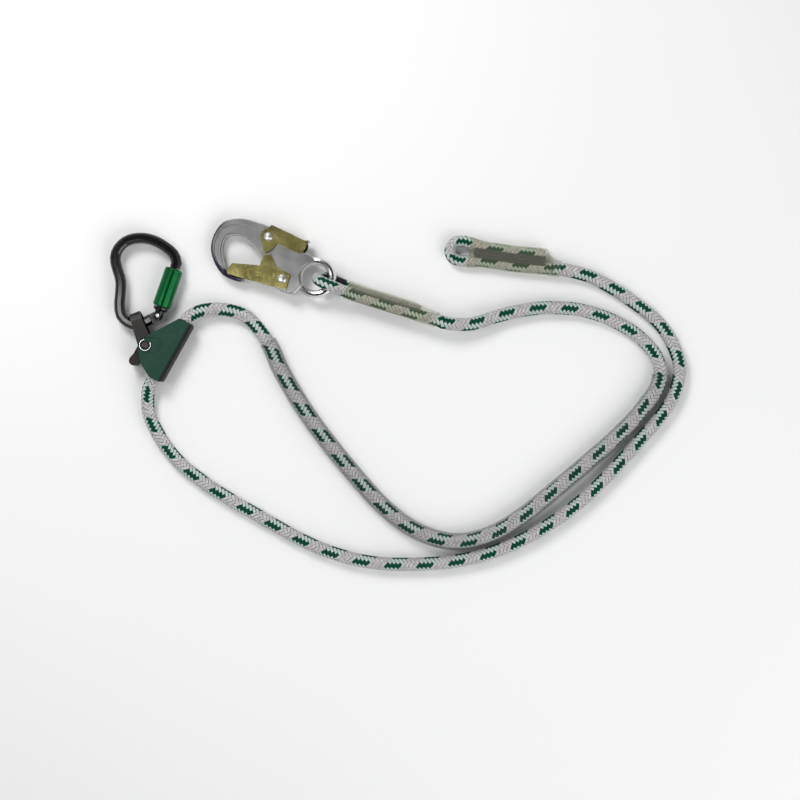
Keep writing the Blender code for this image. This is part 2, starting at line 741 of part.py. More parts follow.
def eye_place(standing, folded, along, spread=1.0):
    """Middle, sideways and upward directions and half spacing of an eye's two legs."""
    kept, other = leg_at(standing, along), leg_at(folded, along)
    other = kept + (other - kept) * spread
    side = (other - kept).normalized()
    rise = Vector((1.0, 0.0, 0.0)).cross(side).normalized()
    return (kept + other) / 2, side, rise, (other - kept).length / 2


def stadium(half, radius):
    quarter = math.pi / 2
    right = arc(half, 0.0, radius, -quarter, quarter, COVER_ARC_STEPS)
    return right + arc(-half, 0.0, radius, quarter, 3 * quarter, COVER_ARC_STEPS)


def seam_section(half):
    """A seam that fills the groove between the two legs on both faces."""
    radius = EYE_LEG_DIAMETER / 2 + SEAM_GAP
    lean = math.acos((half - SEAM_WIDTH / 2) / radius)
    right = arc(half, 0.0, radius, math.pi - lean, math.pi + lean, SEAM_ARC_STEPS)
    left = arc(-half, 0.0, radius, -lean, lean, SEAM_ARC_STEPS)
    corner, top = SEAM_WIDTH / 2, SEAM_HEIGHT / 2
    return [(corner, top), *right, (corner, -top), (-corner, -top), *left, (-corner, top)]


def add_eye(name, holder, route, seam, cover):
    legs = evenly(smooth(route, CURVE_STEPS), EYE_STEP)
    tip = min(range(len(legs)), key=lambda index: legs[index].x)
    standing, folded = legs[:tip + 1], legs[tip:]
    part(name + "_loop", tube(legs, EYE_LEG_DIAMETER), ROPE_GREY, holder)
    rings = []
    for along in seam:
        middle, side, rise, half = eye_place(standing, folded, along)
        rings.append([middle + side * x + rise * y for x, y in seam_section(half)])
    part(name + "_stitching", loft(rings), STITCH_GREY, holder)
    outer, inner = [], []
    for along, spread, bore in cover:
        middle, side, rise, half = eye_place(standing, folded, along, spread)
        outer.append([middle + side * x + rise * y for x, y in stadium(half, bore / 2 + COVER_WALL)])
        inner.append([middle + side * x + rise * y for x, y in stadium(half, bore / 2)])
    part(name + "_cover", loft(outer, inner), SHRINK_COVER, holder)
    return folded


def add_eyes(holder):
    hook_side = frame("hook_eye_frame", holder, (*HOOK_EYE_PLACE, 0.0), HOOK_EYE_TURN)
    folded = add_eye("hook_eye", hook_side, HOOK_EYE_ROUTE, HOOK_EYE_SEAM, HOOK_EYE_COVER)
    guarded = [point for point in folded if HOOK_GUARD_FROM < point.x < HOOK_GUARD_TO]
    mesh = sleeve_mesh(stations(guarded), GUARD_BORE, GUARD_WALL, GUARD_SIDES)
    part("hook_eye_guard", mesh, GUARD_BLACK, hook_side)
    tail_side = frame("tail_eye_frame", holder, (*TAIL_EYE_PLACE, 0.0), TAIL_EYE_TURN)
    add_eye("tail_eye", tail_side, TAIL_EYE_ROUTE, TAIL_EYE_SEAM, TAIL_EYE_COVER)


def add_shell(holder):
    """Two cheeks and a back wall folded from one sheet."""
    half, quarter = ADJUSTER_THICKNESS / 2, math.pi / 2
    mouth = SHELL_DISCS[0][2] + CUT_MARGIN
    turn, rise = SHELL_BEND - SHELL_BACK, half - SHELL_BEND
    inside = SHELL_BEND - SHELL_SHEET
    section = [(mouth, half)]
    section += arc(turn, rise, SHELL_BEND, quarter, 2 * quarter, SHELL_SECTION_STEPS)
    section += arc(turn, -rise, SHELL_BEND, 2 * quarter, 3 * quarter, SHELL_SECTION_STEPS)
    section += [(mouth, -half), (mouth, SHELL_SHEET - half)]
    section += arc(turn, -rise, inside, 3 * quarter, 2 * quarter, SHELL_SECTION_STEPS)
    section += arc(turn, rise, inside, 2 * quarter, quarter, SHELL_SECTION_STEPS)
    section.append((mouth, half - SHELL_SHEET))
    ends = SHELL_DISCS[1][2]
    folded = moved(plate(section, SHELL_FROM - ends, SHELL_TO + ends), LIE_ALONG_X)
    shell = part("adjuster_shell", folded, GREEN_PAINT, holder)
    tall = half + CUT_MARGIN
    shaped(shell, "INTERSECT", "cheek_outline", plate(hull(SHELL_DISCS), -tall, tall))
    shaped(shell, "DIFFERENCE", "pin_hole", drum(PIN_HOLE / 2, -tall, tall))
    sink = drum(PIN_HEAD_DIAMETER / 2 + FIT_GAP, -tall, PIN_HEAD_SINK - half)
    shaped(shell, "DIFFERENCE", "head_seat", sink)
    lean = -ADJUSTER_TURN
    along = (RECESS_NEAR, RECESS_FAR)
    ends = [(reach * math.cos(lean), reach * math.sin(lean), RECESS_RADIUS) for reach in along]
    shaped(shell, "DIFFERENCE", "top_recess", plate(hull(ends), half - RECESS_DEPTH, tall))


def add_pin(holder):
    half, radius, groove = ADJUSTER_THICKNESS / 2, PIN_DIAMETER / 2, PIN_GROOVE_DIAMETER / 2
    head, head_top = PIN_HEAD_DIAMETER / 2, PIN_HEAD_SINK - half - FIT_GAP
    clip_top = CLIP_HEIGHT + CLIP_THICKNESS
    above, below, foot = clip_top + FIT_GAP, CLIP_HEIGHT - FIT_GAP, FLOOR_GAP - half
    profile = ((0.0, PIN_TOP), (groove, PIN_TOP), (radius, above), (groove, above),
               (groove, below), (radius, below), (radius, head_top), (head, head_top),
               (head, foot), (0.0, foot))
    part("cam_pin", turned(profile, PIN_SIDES), BRIGHT_STEEL, holder)
    start, end = CLIP_MOUTH / 2, math.tau - CLIP_MOUTH / 2
    outline = arc(0.0, 0.0, CLIP_OUTER_RADIUS, start, end, CLIP_STEPS)
    outline += arc(0.0, 0.0, CLIP_INNER_RADIUS, end, start, CLIP_STEPS)
    part("cam_pin_clip", plate(outline, CLIP_HEIGHT, clip_top), BRIGHT_STEEL, holder)


def add_cam(holder):
    """A toothed cam whose face grows along a spiral, with a thumb nub."""
    half = CAM_THICKNESS / 2
    outline = []
    for step in range(2 * CAM_TOOTH_COUNT + 1):
        angle = CAM_FACE_FROM + (CAM_FACE_TO - CAM_FACE_FROM) * step / (2 * CAM_TOOTH_COUNT)
        reach = CAM_FACE * math.exp(CAM_SPIRAL * (angle + math.pi / 2)) - CAM_TOOTH_DEPTH * (step % 2)
        outline.append((reach * math.cos(angle), reach * math.sin(angle)))
    outline += arc(0.0, 0.0, CAM_HUB_RADIUS, 0.0, CAM_HUB_SWEEP, CAM_TOOTH_COUNT)
    cam = part("adjuster_cam", plate(outline, -half, half), DARK_CAST, holder)
    shaped(cam, "UNION", "cam_arm", plate(hull(CAM_ARM), FIT_GAP - half, half - FIT_GAP))
    wide = CAM_NUB_THICKNESS / 2
    shaped(cam, "UNION", "cam_nub", plate(hull(CAM_NUB), -wide, wide))
    tall = half + CUT_MARGIN
    shaped(cam, "DIFFERENCE", "cam_bore", drum(PIN_HOLE / 2, -tall, tall))
    shaped(cam, "DIFFERENCE", "spring_pocket", drum(CAM_POCKET_RADIUS, half - CAM_POCKET_DEPTH, tall))


def add_cam_spring(holder):
    middle = (CAM_THICKNESS - CAM_POCKET_DEPTH) / 2
    reach = CAM_SPRING_TURNS * CAM_SPRING_PITCH / 2
    mesh = coil(CAM_SPRING_RADIUS, CAM_SPRING_WIRE, middle - reach, middle + reach, CAM_SPRING_TURNS)
    part("cam_spring", mesh, BRIGHT_STEEL, holder)


def add_bail(holder):
    quarter, outer = math.pi / 2, BAIL_INNER + BAIL_STRAP
    back = -BAIL_EYE_RADIUS - CUT_MARGIN
    section = [(back, outer)]
    section += arc(BAIL_BIGHT, 0.0, outer, quarter, -quarter, BAIL_BEND_STEPS)
    section += [(back, -outer), (back, -BAIL_INNER)]
    section += arc(BAIL_BIGHT, 0.0, BAIL_INNER, -quarter, quarter, BAIL_BEND_STEPS)
    section.append((back, BAIL_INNER))
    wide = BAIL_EYE_RADIUS + CUT_MARGIN
    bent = moved(plate(section, -wide, wide), Matrix.Rotation(quarter, 4, "X"))
    bail = part("adjuster_bail", bent, OLIVE_STRAP, holder)
    end, corner = BAIL_BIGHT + outer, BAIL_STRAP
    side = BAIL_BIGHT_WIDTH / 2 - corner
    plan = hull(((0.0, 0.0, BAIL_EYE_RADIUS), (end, side, corner), (end, -side, corner)))
    tall = outer + CUT_MARGIN
    shaped(bail, "INTERSECT", "bail_outline", plate(plan, -tall, tall))
    shaped(bail, "DIFFERENCE", "bail_eye", drum(PIN_HOLE / 2, -tall, tall))


def add_adjuster(root):
    adjuster = frame("adjuster_frame", root, ADJUSTER_PLACE, ADJUSTER_TURN)
    add_shell(adjuster)
    add_pin(adjuster)
    add_cam(frame("cam_frame", adjuster))
    add_cam_spring(adjuster)
    bail = frame("bail_frame", adjuster, turn=BAIL_TURN)
    add_bail(bail)


def block(x, y, z):
    """A box between two limits on each axis."""
    corners = ((x[0], y[0]), (x[1], y[0]), (x[1], y[1]), (x[0], y[1]))
    return plate(corners, *z)


def rail_section(fade):
    """A round bar's section with a groove in its upper and lower sides."""
    radius, half = CARABINER_ROD / 2, CARABINER_FLAT / 2
    edge = math.asin(half / radius)
    quarter, floor = math.pi / 2, radius * math.cos(edge) - CARABINER_GROOVE * fade
    right = arc(0.0, 0.0, radius, edge - quarter, quarter - edge, CARABINER_RAIL_STEPS)
    left = arc(0.0, 0.0, radius, quarter + edge, 3 * quarter - edge, CARABINER_RAIL_STEPS)
    shoulder = half - CARABINER_GROOVE / 2
    return [*right, (shoulder, floor), (-shoulder, floor), *left, (-shoulder, -floor), (shoulder, -floor)]


def gate_matrix():
    return Matrix.Translation((*GATE_PLACE, 0.0)) @ Matrix.Rotation(GATE_TURN, 4, "Z")


def add_carabiner_body(holder):
    gate = gate_matrix()
    pivot = Vector(GATE_PLACE)
    bend = arc(0.0, 0.0, CARABINER_BEND, CARABINER_BEND_FROM, CARABINER_BEND_TO, CARABINER_BEND_STEPS)
    start = pivot + (Vector(bend[0]) - pivot).normalized() * TANG_REACH
    nose = [(gate @ Vector((reach, 0.0, 0.0))).xy for reach in (NOSE_AT + NOSE_LEAD, NOSE_AT)]
    knots = [start, *bend, *shares(CARABINER_SHARES, CARABINER_LENGTH), *nose]
    flat = smooth(knots, CURVE_STEPS)
    route = evenly([spot.to_3d() for spot in flat], CARABINER_STATION)
    rings = []
    for index, place in enumerate(stations(route)):
        share = min(index, len(route) - 1 - index) / (len(route) - 1)
        rings.append(swept_ring(place, rail_section(min(1.0, share / CARABINER_GROOVE_FADE))))
    body = part("carabiner_body", loft(rings), BLACK_ALLOY, holder)
    thick = TANG_THICKNESS / 2
    tang = hull(((*pivot, TANG_RADIUS), (*start, TANG_RADIUS)))
    shaped(body, "UNION", "tang", plate(tang, -thick, thick))
    tall = CARABINER_ROD
    hole = moved(drum(RIVET_HOLE / 2, -tall, tall), at(*pivot))
    shaped(body, "DIFFERENCE", "tang_hole", hole)
    wall, slot = NOSE_SLOT_WALL - CARABINER_ROD / 2, NOSE_SLOT / 2
    cut = block((NOSE_AT - CUT_MARGIN, NOSE_AT + NOSE_SLOT_DEPTH), (wall, tall), (-slot, slot))
    shaped(body, "DIFFERENCE", "nose_slot", moved(cut, gate))
    thick = GATE_DIAMETER / 2 - FIT_GAP / 2
    rivet = moved(drum(RIVET_DIAMETER / 2, -thick, thick), at(*pivot))
    part("gate_hinge_rivet", rivet, BRIGHT_STEEL, holder)


def add_carabiner_gate(holder):
    radius = GATE_DIAMETER / 2
    bar = moved(drum(radius, -radius, GATE_LENGTH, GATE_SIDES), LIE_ALONG_X)
    gate = part("carabiner_gate", bar, BLACK_ALLOY, holder)
    tall = GATE_DIAMETER
    round_end = hull(((0.0, 0.0, radius), (GATE_LENGTH, 0.0, tall)))
    shaped(gate, "INTERSECT", "round_end", plate(round_end, -tall, tall))
    side = NOSE_SLOT_WALL - CARABINER_ROD / 2 + FIT_GAP
    thick, slot = TONGUE_THICKNESS / 2, FORK_SLOT / 2
    tongue = block((GATE_LENGTH - CUT_MARGIN, GATE_LENGTH + TONGUE_LENGTH), (side, side + TONGUE_WIDTH),
                   (-thick, thick))
    shaped(gate, "UNION", "tongue", tongue)
    fork = block((-tall, FORK_DEPTH), (-tall, tall), (-slot, slot))
    shaped(gate, "DIFFERENCE", "fork_slot", fork)
    shaped(gate, "DIFFERENCE", "rivet_hole", drum(RIVET_HOLE / 2, -tall, tall))
    bore = drum(GATE_BORE / 2, FORK_DEPTH - CUT_MARGIN, GATE_BORE_DEPTH)
    shaped(gate, "DIFFERENCE", "plunger_bore", moved(bore, LIE_ALONG_X))
    pin_hole = moved(drum(GUIDE_PIN_HOLE / 2, -tall, tall), at(GUIDE_PIN_AT))
    shaped(gate, "DIFFERENCE", "pin_hole", pin_hole)


def add_gate_insides(holder):
    radius = PLUNGER_DIAMETER / 2
    profile = ((0.0, PLUNGER_TO), (radius, PLUNGER_TO), (radius, PLUNGER_FROM + radius / 2),
               (radius / 2, PLUNGER_FROM), (0.0, PLUNGER_FROM))
    part("gate_plunger", moved(turned(profile, PIN_SIDES), LIE_ALONG_X), BRIGHT_STEEL, holder)
    start = PLUNGER_TO + RETURN_SPRING_WIRE
    mesh = coil(RETURN_SPRING_RADIUS, RETURN_SPRING_WIRE, start, RETURN_SPRING_TO, RETURN_SPRING_TURNS)
    part("gate_return_spring", moved(mesh, LIE_ALONG_X), BRIGHT_STEEL, holder)
    mesh = coil(LOCK_SPRING_RADIUS, LOCK_SPRING_WIRE, LOCK_SPRING_FROM, LOCK_SPRING_TO, LOCK_SPRING_TURNS)
    part("lock_spring", moved(mesh, LIE_ALONG_X), BRIGHT_STEEL, holder)
    pin = moved(drum(GUIDE_PIN_DIAMETER / 2, -GUIDE_PIN_REACH, GUIDE_PIN_REACH), at(GUIDE_PIN_AT))
    part("lock_guide_pin", pin, BRIGHT_STEEL, holder)


def add_collar(holder):
    wide, edge = COLLAR_RADIUS, COLLAR_CHAMFER
    profile = ((wide, COLLAR_TO), (wide, COLLAR_FROM + edge), (wide - edge, COLLAR_FROM),
               (COLLAR_BORE, COLLAR_FROM), (COLLAR_BORE, COLLAR_TO))
    part("lock_collar", moved(turned(profile, GATE_SIDES, ring=True), LIE_ALONG_X), BLACK_ALLOY, holder)


def add_barrel(holder):
    wide, edge = BARREL_RADIUS, BARREL_CHAMFER
    profile = ((wide - edge, BARREL_TO), (wide, BARREL_TO - edge), (wide, BARREL_FROM + edge),
               (wide - edge, BARREL_FROM), (BARREL_LIP_BORE, BARREL_FROM),
               (BARREL_LIP_BORE, BARREL_FROM + BARREL_LIP), (BARREL_BORE, BARREL_FROM + BARREL_LIP),
               (BARREL_BORE, BARREL_TO - BARREL_LIP), (BARREL_LIP_BORE, BARREL_TO - BARREL_LIP),
               (BARREL_LIP_BORE, BARREL_TO))
    part("lock_sleeve", moved(turned(profile, GATE_SIDES, ring=True), LIE_ALONG_X), GREEN_ALLOY, holder)


def add_carabiner(root):
    carabiner = frame("carabiner_frame", root, CARABINER_PLACE, pivot=(*CARABINER_JOINT, 0.0))
    carabiner.location += Vector((*CARABINER_JOINT, 0.0))
    add_carabiner_body(carabiner)
    gate = frame("carabiner_gate_frame", carabiner, (*GATE_PLACE, 0.0), GATE_TURN)
    add_carabiner_gate(gate)
    add_gate_insides(gate)
    collar = frame("lock_collar_frame", gate)
    add_collar(collar)
    add_barrel(frame("lock_sleeve_frame", collar))


def channel(points, width, bottom, top):
    """A straight-walled groove along a route in the plane."""
    half = width / 2
    section = ((-half, bottom), (half, bottom), (half, top), (-half, top))
    route = [spot.to_3d() for spot in smooth(points, HOOK_CURVE_STEPS)]
    return loft([swept_ring(place, section) for place in stations(route)])


def add_hook_body(holder):
    """A forged plate with a welded ring, a thin nose and a sunk web."""
    outer = smooth([HOOK_NECK_UNDER, *shares(HOOK_OUTER_SHARES, HOOK_REACH)], HOOK_CURVE_STEPS)
    inner = smooth([*shares(HOOK_INNER_SHARES, HOOK_REACH), HOOK_NECK_OVER], HOOK_CURVE_STEPS)
    wall = arc(0.0, 0.0, HOOK_EYE_WALL, HOOK_EYE_WALL_FROM, HOOK_EYE_WALL_TO, HOOK_EYE_WALL_STEPS)
    outline = [*outer, *shares(HOOK_LEDGE_SHARES, HOOK_REACH), *inner, *wall]
    half, tall = HOOK_THICKNESS / 2, HOOK_THICKNESS
    body = part("hook_body", plate(outline, -half, half, HOOK_EDGE), FORGED_STEEL, holder)
    rod = [(HOOK_RING_RADIUS + x, y) for x, y in circle(0.0, 0.0, HOOK_RING_ROD / 2, HOOK_RING_ROD_SIDES)]
    ring = turned(rod[::-1], HOOK_RING_SIDES, ring=True)
    shaped(body, "UNION", "ring", ring)
    for name, bottom, top in (("upper_web", half - HOOK_CHANNEL_DEPTH, tall),
                              ("lower_web", -tall, HOOK_CHANNEL_DEPTH - half)):
        groove = channel(shares(HOOK_CHANNEL_SHARES, HOOK_REACH), HOOK_CHANNEL_WIDTH, bottom, top)
        shaped(body, "DIFFERENCE", name, groove)
    slot = SPRING_SLOT_WIDTH / 2
    slots = (("gate", HOOK_GATE_PIVOT, HOOK_GATE_SLOT_END), ("lever", LEVER_PIVOT, LEVER_SLOT_END))
    for name, pivot, end in slots:
        plan = hull(((*pivot, SPRING_SLOT_RADIUS), (*end, SPRING_SLOT_RADIUS)))
        shaped(body, "DIFFERENCE", name + "_spring_slot", plate(plan, -slot, slot))
        hole = moved(drum(PIVOT_HOLE / 2, -tall, tall), at(*pivot))
        shaped(body, "DIFFERENCE", name + "_pivot_hole", hole)


def add_pivot(prefix, pivot, holder):
    """The rivet that carries a sprung lever, and the spring wound round it."""
    face, radius, head = CHEEK_INNER + CHEEK_SHEET + FIT_GAP, PIVOT_RIVET / 2, PIVOT_HEAD / 2
    top = face + PIVOT_HEAD_HEIGHT
    crown, brim = head * PIVOT_CROWN, face + PIVOT_HEAD_HEIGHT * PIVOT_BRIM
    upper = ((0.0, top), (crown, brim), (head, face), (radius, face))
    profile = (*upper, *((x, -z) for x, z in reversed(upper)))
    part(prefix + "_rivet", moved(turned(profile, PIVOT_SIDES), at(*pivot)), BRIGHT_STEEL, holder)
    reach = PIVOT_SPRING_TURNS * PIVOT_SPRING_PITCH / 2
    mesh = coil(PIVOT_SPRING_RADIUS, PIVOT_SPRING_WIRE, -reach, reach, PIVOT_SPRING_TURNS)
    part(prefix + "_spring", moved(mesh, at(*pivot)), BRIGHT_STEEL, holder)


def cheeked(name, base, outline, pivot, holder):
    """A folded lever: a web between two cheeks that hang on a rivet."""
    lever = part(name, base, ZINC_STEEL, holder)
    inner, outer = CHEEK_INNER, CHEEK_INNER + CHEEK_SHEET
    shaped(lever, "UNION", name + "_upper_cheek", plate(outline, inner, outer))
    shaped(lever, "UNION", name + "_lower_cheek", plate(outline, -outer, -inner))
    hole = moved(drum(PIVOT_HOLE / 2, -HOOK_THICKNESS, HOOK_THICKNESS), at(*pivot))
    shaped(lever, "DIFFERENCE", name + "_hole", hole)


def add_hook(root):
    turn, radius = HOOK_JOINT_TURN, HOOK_RING_RADIUS
    joint = Vector((radius * math.cos(turn), radius * math.sin(turn), 0.0))
    hook = frame("snap_hook_frame", root, HOOK_PLACE, HOOK_TURN, HOOK_TILT, pivot=joint)
    hook.matrix_basis = hook.matrix_basis @ Matrix.Translation(joint)
    add_hook_body(hook)
    add_pivot("hook_gate", HOOK_GATE_PIVOT, hook)
    add_pivot("lock_lever", LEVER_PIVOT, hook)
    reach = CHEEK_INNER + CHEEK_SHEET / 2
    pivot = (*HOOK_GATE_PIVOT, 0.0)
    gate = frame("hook_gate_frame", hook, pivot, pivot=pivot)
    sheet = (HOOK_GATE_WEB_TOP - CHEEK_SHEET, HOOK_GATE_WEB_TOP)
    web = block((HOOK_GATE_WEB_FROM, HOOK_GATE_WEB_TO), sheet, (-reach, reach))
    cheeked("hook_gate", web, shares(HOOK_GATE_SHARES, HOOK_REACH), HOOK_GATE_PIVOT, gate)
    pivot = (*LEVER_PIVOT, 0.0)
    lever = frame("lock_lever_frame", hook, pivot, pivot=pivot)
    back = plate(shares(LEVER_BACK_SHARES, HOOK_REACH), -reach, reach)
    cheeked("lock_lever", back, shares(LEVER_SHARES, HOOK_REACH), LEVER_PIVOT, lever)


def build():
    lanyard = frame("lanyard", place=ORIGIN_SHIFT)
    add_rope(lanyard)
    add_eyes(lanyard)
    add_adjuster(lanyard)
    add_carabiner(lanyard)
    add_hook(lanyard)


build()
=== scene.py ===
# %% [markdown]
# # Dressing the tree climbing lanyard
#
# The lanyard's metal parts, with their joints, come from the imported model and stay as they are.
# This lesson gives them their finishes and replaces the plain rope, sleeve and covers with
# braided, stitched and clear ones. All lengths are in metres.

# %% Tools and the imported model
import json
import math
import random

import bpy
from mathutils import Matrix, Vector


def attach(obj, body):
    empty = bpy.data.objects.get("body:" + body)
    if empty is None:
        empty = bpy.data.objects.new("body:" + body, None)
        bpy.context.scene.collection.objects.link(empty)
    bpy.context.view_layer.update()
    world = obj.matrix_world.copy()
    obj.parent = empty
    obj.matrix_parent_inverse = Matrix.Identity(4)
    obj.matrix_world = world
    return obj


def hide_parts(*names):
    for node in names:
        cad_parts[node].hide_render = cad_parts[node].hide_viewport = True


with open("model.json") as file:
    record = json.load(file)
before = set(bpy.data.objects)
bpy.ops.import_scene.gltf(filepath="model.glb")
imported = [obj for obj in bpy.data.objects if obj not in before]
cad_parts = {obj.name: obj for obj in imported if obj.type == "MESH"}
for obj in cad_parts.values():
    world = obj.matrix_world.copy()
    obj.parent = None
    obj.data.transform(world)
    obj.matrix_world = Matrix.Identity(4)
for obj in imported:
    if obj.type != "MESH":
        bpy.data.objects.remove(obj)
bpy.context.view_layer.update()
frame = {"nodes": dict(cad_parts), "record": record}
nodes = frame["nodes"]
random.seed(7)

# %% [markdown]
# ## Camera
#
# The photograph looks straight down at the lanyard on a white ground. A perspective camera above
# the middle of the picture matches it: an orthographic one would hide the small lean of the
# raised parts. One pixel of the photograph is 0.96 mm at the height of the rope's middle, and
# that fixes the lens once the camera's height is chosen. `spot` turns a pixel into a place.

# %% Camera
PIXEL = 0.00096
PHOTO_SIDE = 800
PHOTO_MIDDLE = 400
ORIGIN_COLUMN = 223.3
ORIGIN_ROW = 299.5
ORIGIN_SHIFT = Vector((-0.0002, 0.0004, 0.0))
SIGHT_HEIGHT = 0.008
CAMERA_HEIGHT = 1.5
SENSOR_WIDTH = 36.0


def spot(column, row, height=0.0):
    """The place under a pixel of the photograph."""
    return Vector(((column - ORIGIN_COLUMN) * PIXEL, (ORIGIN_ROW - row) * PIXEL, height)) + ORIGIN_SHIFT


scene = bpy.context.scene
lens = bpy.data.cameras.new("camera")
lens.sensor_width = SENSOR_WIDTH
lens.lens = lens.sensor_width * CAMERA_HEIGHT / (PHOTO_SIDE * PIXEL)
camera = bpy.data.objects.new("camera", lens)
camera.location = spot(PHOTO_MIDDLE, PHOTO_MIDDLE, SIGHT_HEIGHT + CAMERA_HEIGHT)
scene.collection.objects.link(camera)
scene.camera = camera
print("camera", [round(v, 3) for v in camera.location], "lens", round(lens.lens, 1))

# %% [markdown]
# ## Sky
#
# An even white sky would flatten the metal: seen from above, flat steel mirrors what is overhead.
# So the sky is bright near the horizon and dim above. A picture of a room would do this too, but a
# ramp over the height of the view direction needs no file.

# %% Sky
HORIZON_HEIGHT, HORIZON_GLOW = 0.25, 0.75
OVERHEAD_HEIGHT, OVERHEAD_GLOW = 0.90, 0.09

scene.view_settings.view_transform = "Standard"
scene.view_settings.look = "None"

world = bpy.data.worlds.new("studio")
world.use_nodes = True
sky = world.node_tree
direction = sky.nodes.new("ShaderNodeTexCoord")
height = sky.nodes.new("ShaderNodeSeparateXYZ")
glow = sky.nodes.new("ShaderNodeMapRange")
sky.links.new(direction.outputs["Generated"], height.inputs[0])
sky.links.new(height.outputs["Z"], glow.inputs[0])
ramp = (HORIZON_HEIGHT, OVERHEAD_HEIGHT, HORIZON_GLOW, OVERHEAD_GLOW)
for socket, value in zip(list(glow.inputs)[1:5], ramp):
    socket.default_value = value
sky.links.new(glow.outputs[0], sky.nodes["Background"].inputs["Strength"])
sky.nodes["Background"].inputs["Color"].default_value = (0.98, 0.99, 1.0, 1.0)
scene.world = world
print("sky", HORIZON_GLOW, "at the horizon and", OVERHEAD_GLOW, "overhead")

# %% [markdown]
# ## Lamps and floor
#
# The photograph has thin bright lines along rods and edges, and no hard shadow. Three rectangular
# lamps give both: a small key, a wide fill that softens its shadows, and a long narrow strip that
# draws the bright lines. The floor is one large flat sheet.

# %% Lamps
def add_light(name, place, aim, width, depth, power):
    """A soft rectangular light that faces a point."""
    data = bpy.data.lights.new(name, "AREA")
    data.shape = "RECTANGLE"
    data.size, data.size_y = width, depth
    data.energy = power
    lamp = bpy.data.objects.new(name, data)
    lamp.location = place
    lamp.rotation_euler = (Vector(aim) - Vector(place)).to_track_quat("-Z", "Y").to_euler()
    scene.collection.objects.link(lamp)


middle = spot(PHOTO_MIDDLE, PHOTO_MIDDLE)
add_light("key", middle + Vector((-0.60, 0.95, 1.15)), middle, 0.55, 0.55, 12.5)
add_light("fill", middle + Vector((0.90, -0.80, 1.10)), middle, 1.3, 1.3, 13.0)
add_light("glint", Vector((-0.70, 0.05, 1.40)), Vector((-0.10, 0.05, 0.0)), 0.14, 0.80, 3.2)
print(len(bpy.data.lights), "lamps")

# %% Floor
FLOOR_REACH = 4.0

floor_mesh = bpy.data.meshes.new("floor")
floor_mesh.from_pydata([(-FLOOR_REACH, -FLOOR_REACH, 0), (FLOOR_REACH, -FLOOR_REACH, 0),
                        (FLOOR_REACH, FLOOR_REACH, 0), (-FLOOR_REACH, FLOOR_REACH, 0)],
                       [], [(0, 1, 2, 3)])
floor = bpy.data.objects.new("floor", floor_mesh)
floor.location = middle
scene.collection.objects.link(floor)
print("floor", 2 * FLOOR_REACH, "m across")

# %% [markdown]
# ## Finishes
#
# A finish is a small graph of nodes. It could be an image laid over the piece, but a graph stays
# sharp at any distance and needs no file. The helpers below create a material and add one node
# at a time, so a formula such as `floor(8 u + 8 v)` stays readable.

# %% Helpers for finishes
def new_finish(name, colour, roughness, metallic=0.0, **more):
    """A material with its shader set up; more are other sockets of the shader by name."""
    made = bpy.data.materials.new(name)
    made.use_nodes = True
    shader = made.node_tree.nodes["Principled BSDF"]
    shader.inputs["Base Color"].default_value = (*colour, 1.0)
    shader.inputs["Roughness"].default_value = roughness
    shader.inputs["Metallic"].default_value = metallic
    for socket, value in more.items():
        shader.inputs[socket.replace("_", " ")].default_value = value
    return made


def put(made, socket, value):
    """Links an output to a socket, or writes a number or colour there."""
    if isinstance(value, bpy.types.NodeSocket):
        made.node_tree.links.new(value, socket)
    else:
        socket.default_value = value


def calc(made, operation, *values):
    """A sum or other calculation on outputs and numbers."""
    node = made.node_tree.nodes.new("ShaderNodeMath")
    node.operation = operation
    for socket, value in zip(node.inputs, values):
        put(made, socket, value)
    return node.outputs[0]


def blend(made, share, first, second, mode="MIX"):
    """A colour between two colours, or the first one tinted by the second."""
    node = made.node_tree.nodes.new("ShaderNodeMix")
    node.data_type = "RGBA"
    node.blend_type = mode
    put(made, node.inputs[0], share)
    for socket, value in ((node.inputs[6], first), (node.inputs[7], second)):
        put(made, socket, (*value, 1.0) if isinstance(value, tuple) else value)
    return node.outputs[2]


def span(made, value, low, high, start=0.0, end=1.0):
    """A value from low to high, mapped to start to end and kept there."""
    node = made.node_tree.nodes.new("ShaderNodeMapRange")
    for socket, number in zip(node.inputs, (value, low, high, start, end)):
        put(made, socket, number)
    return node.outputs[0]


def noise(made, scale, detail=3.0):
    """Cloudy values from 0 to 1 over the object, at a number of spots to the metre."""
    tree = made.node_tree
    place = tree.nodes.new("ShaderNodeTexCoord")
    cloud = tree.nodes.new("ShaderNodeTexNoise")
    cloud.inputs["Scale"].default_value = scale
    cloud.inputs["Detail"].default_value = detail
    tree.links.new(place.outputs["Object"], cloud.inputs["Vector"])
    return cloud.outputs[0]


def relief(made, height, depth, before=None):
    """Bumps of a depth in metres."""
    node = made.node_tree.nodes.new("ShaderNodeBump")
    node.inputs["Distance"].default_value = depth
    put(made, node.inputs["Height"], height)
    if before is not None:
        put(made, node.inputs["Normal"], before)
    return node.outputs[0]


def shade(made, **values):
    """Links values to the shader's sockets."""
    shader = made.node_tree.nodes["Principled BSDF"]
    for socket, value in values.items():
        put(made, shader.inputs[socket.replace("_", " ")], value)


# %% [markdown]
# ### Paper
#
# The ground of the photograph is plain white. A single flat colour looks made up, so the sheet
# is clouded a little.

# %% Paper
PAPER, PAPER_CLOUD = (0.90, 0.90, 0.90), (0.915, 0.915, 0.912)

paper = new_finish("floor_paper", PAPER, 0.9)
shade(paper, Base_Color=blend(paper, noise(paper, 3.0), PAPER, PAPER_CLOUD))
floor_mesh.materials.append(paper)
print("paper on the floor")

# %% [markdown]
# ### Used metal
#
# The adjuster looks painted, the carabiner anodised and the hook forged and plated. One recipe
# serves them all: cloudy colour, a slightly uneven gloss and a fine grain. The gloss varies
# little, because flat metal mirrors only the soft edge of a lamp's light, and there a small step
# in roughness already shows as a dark speck.

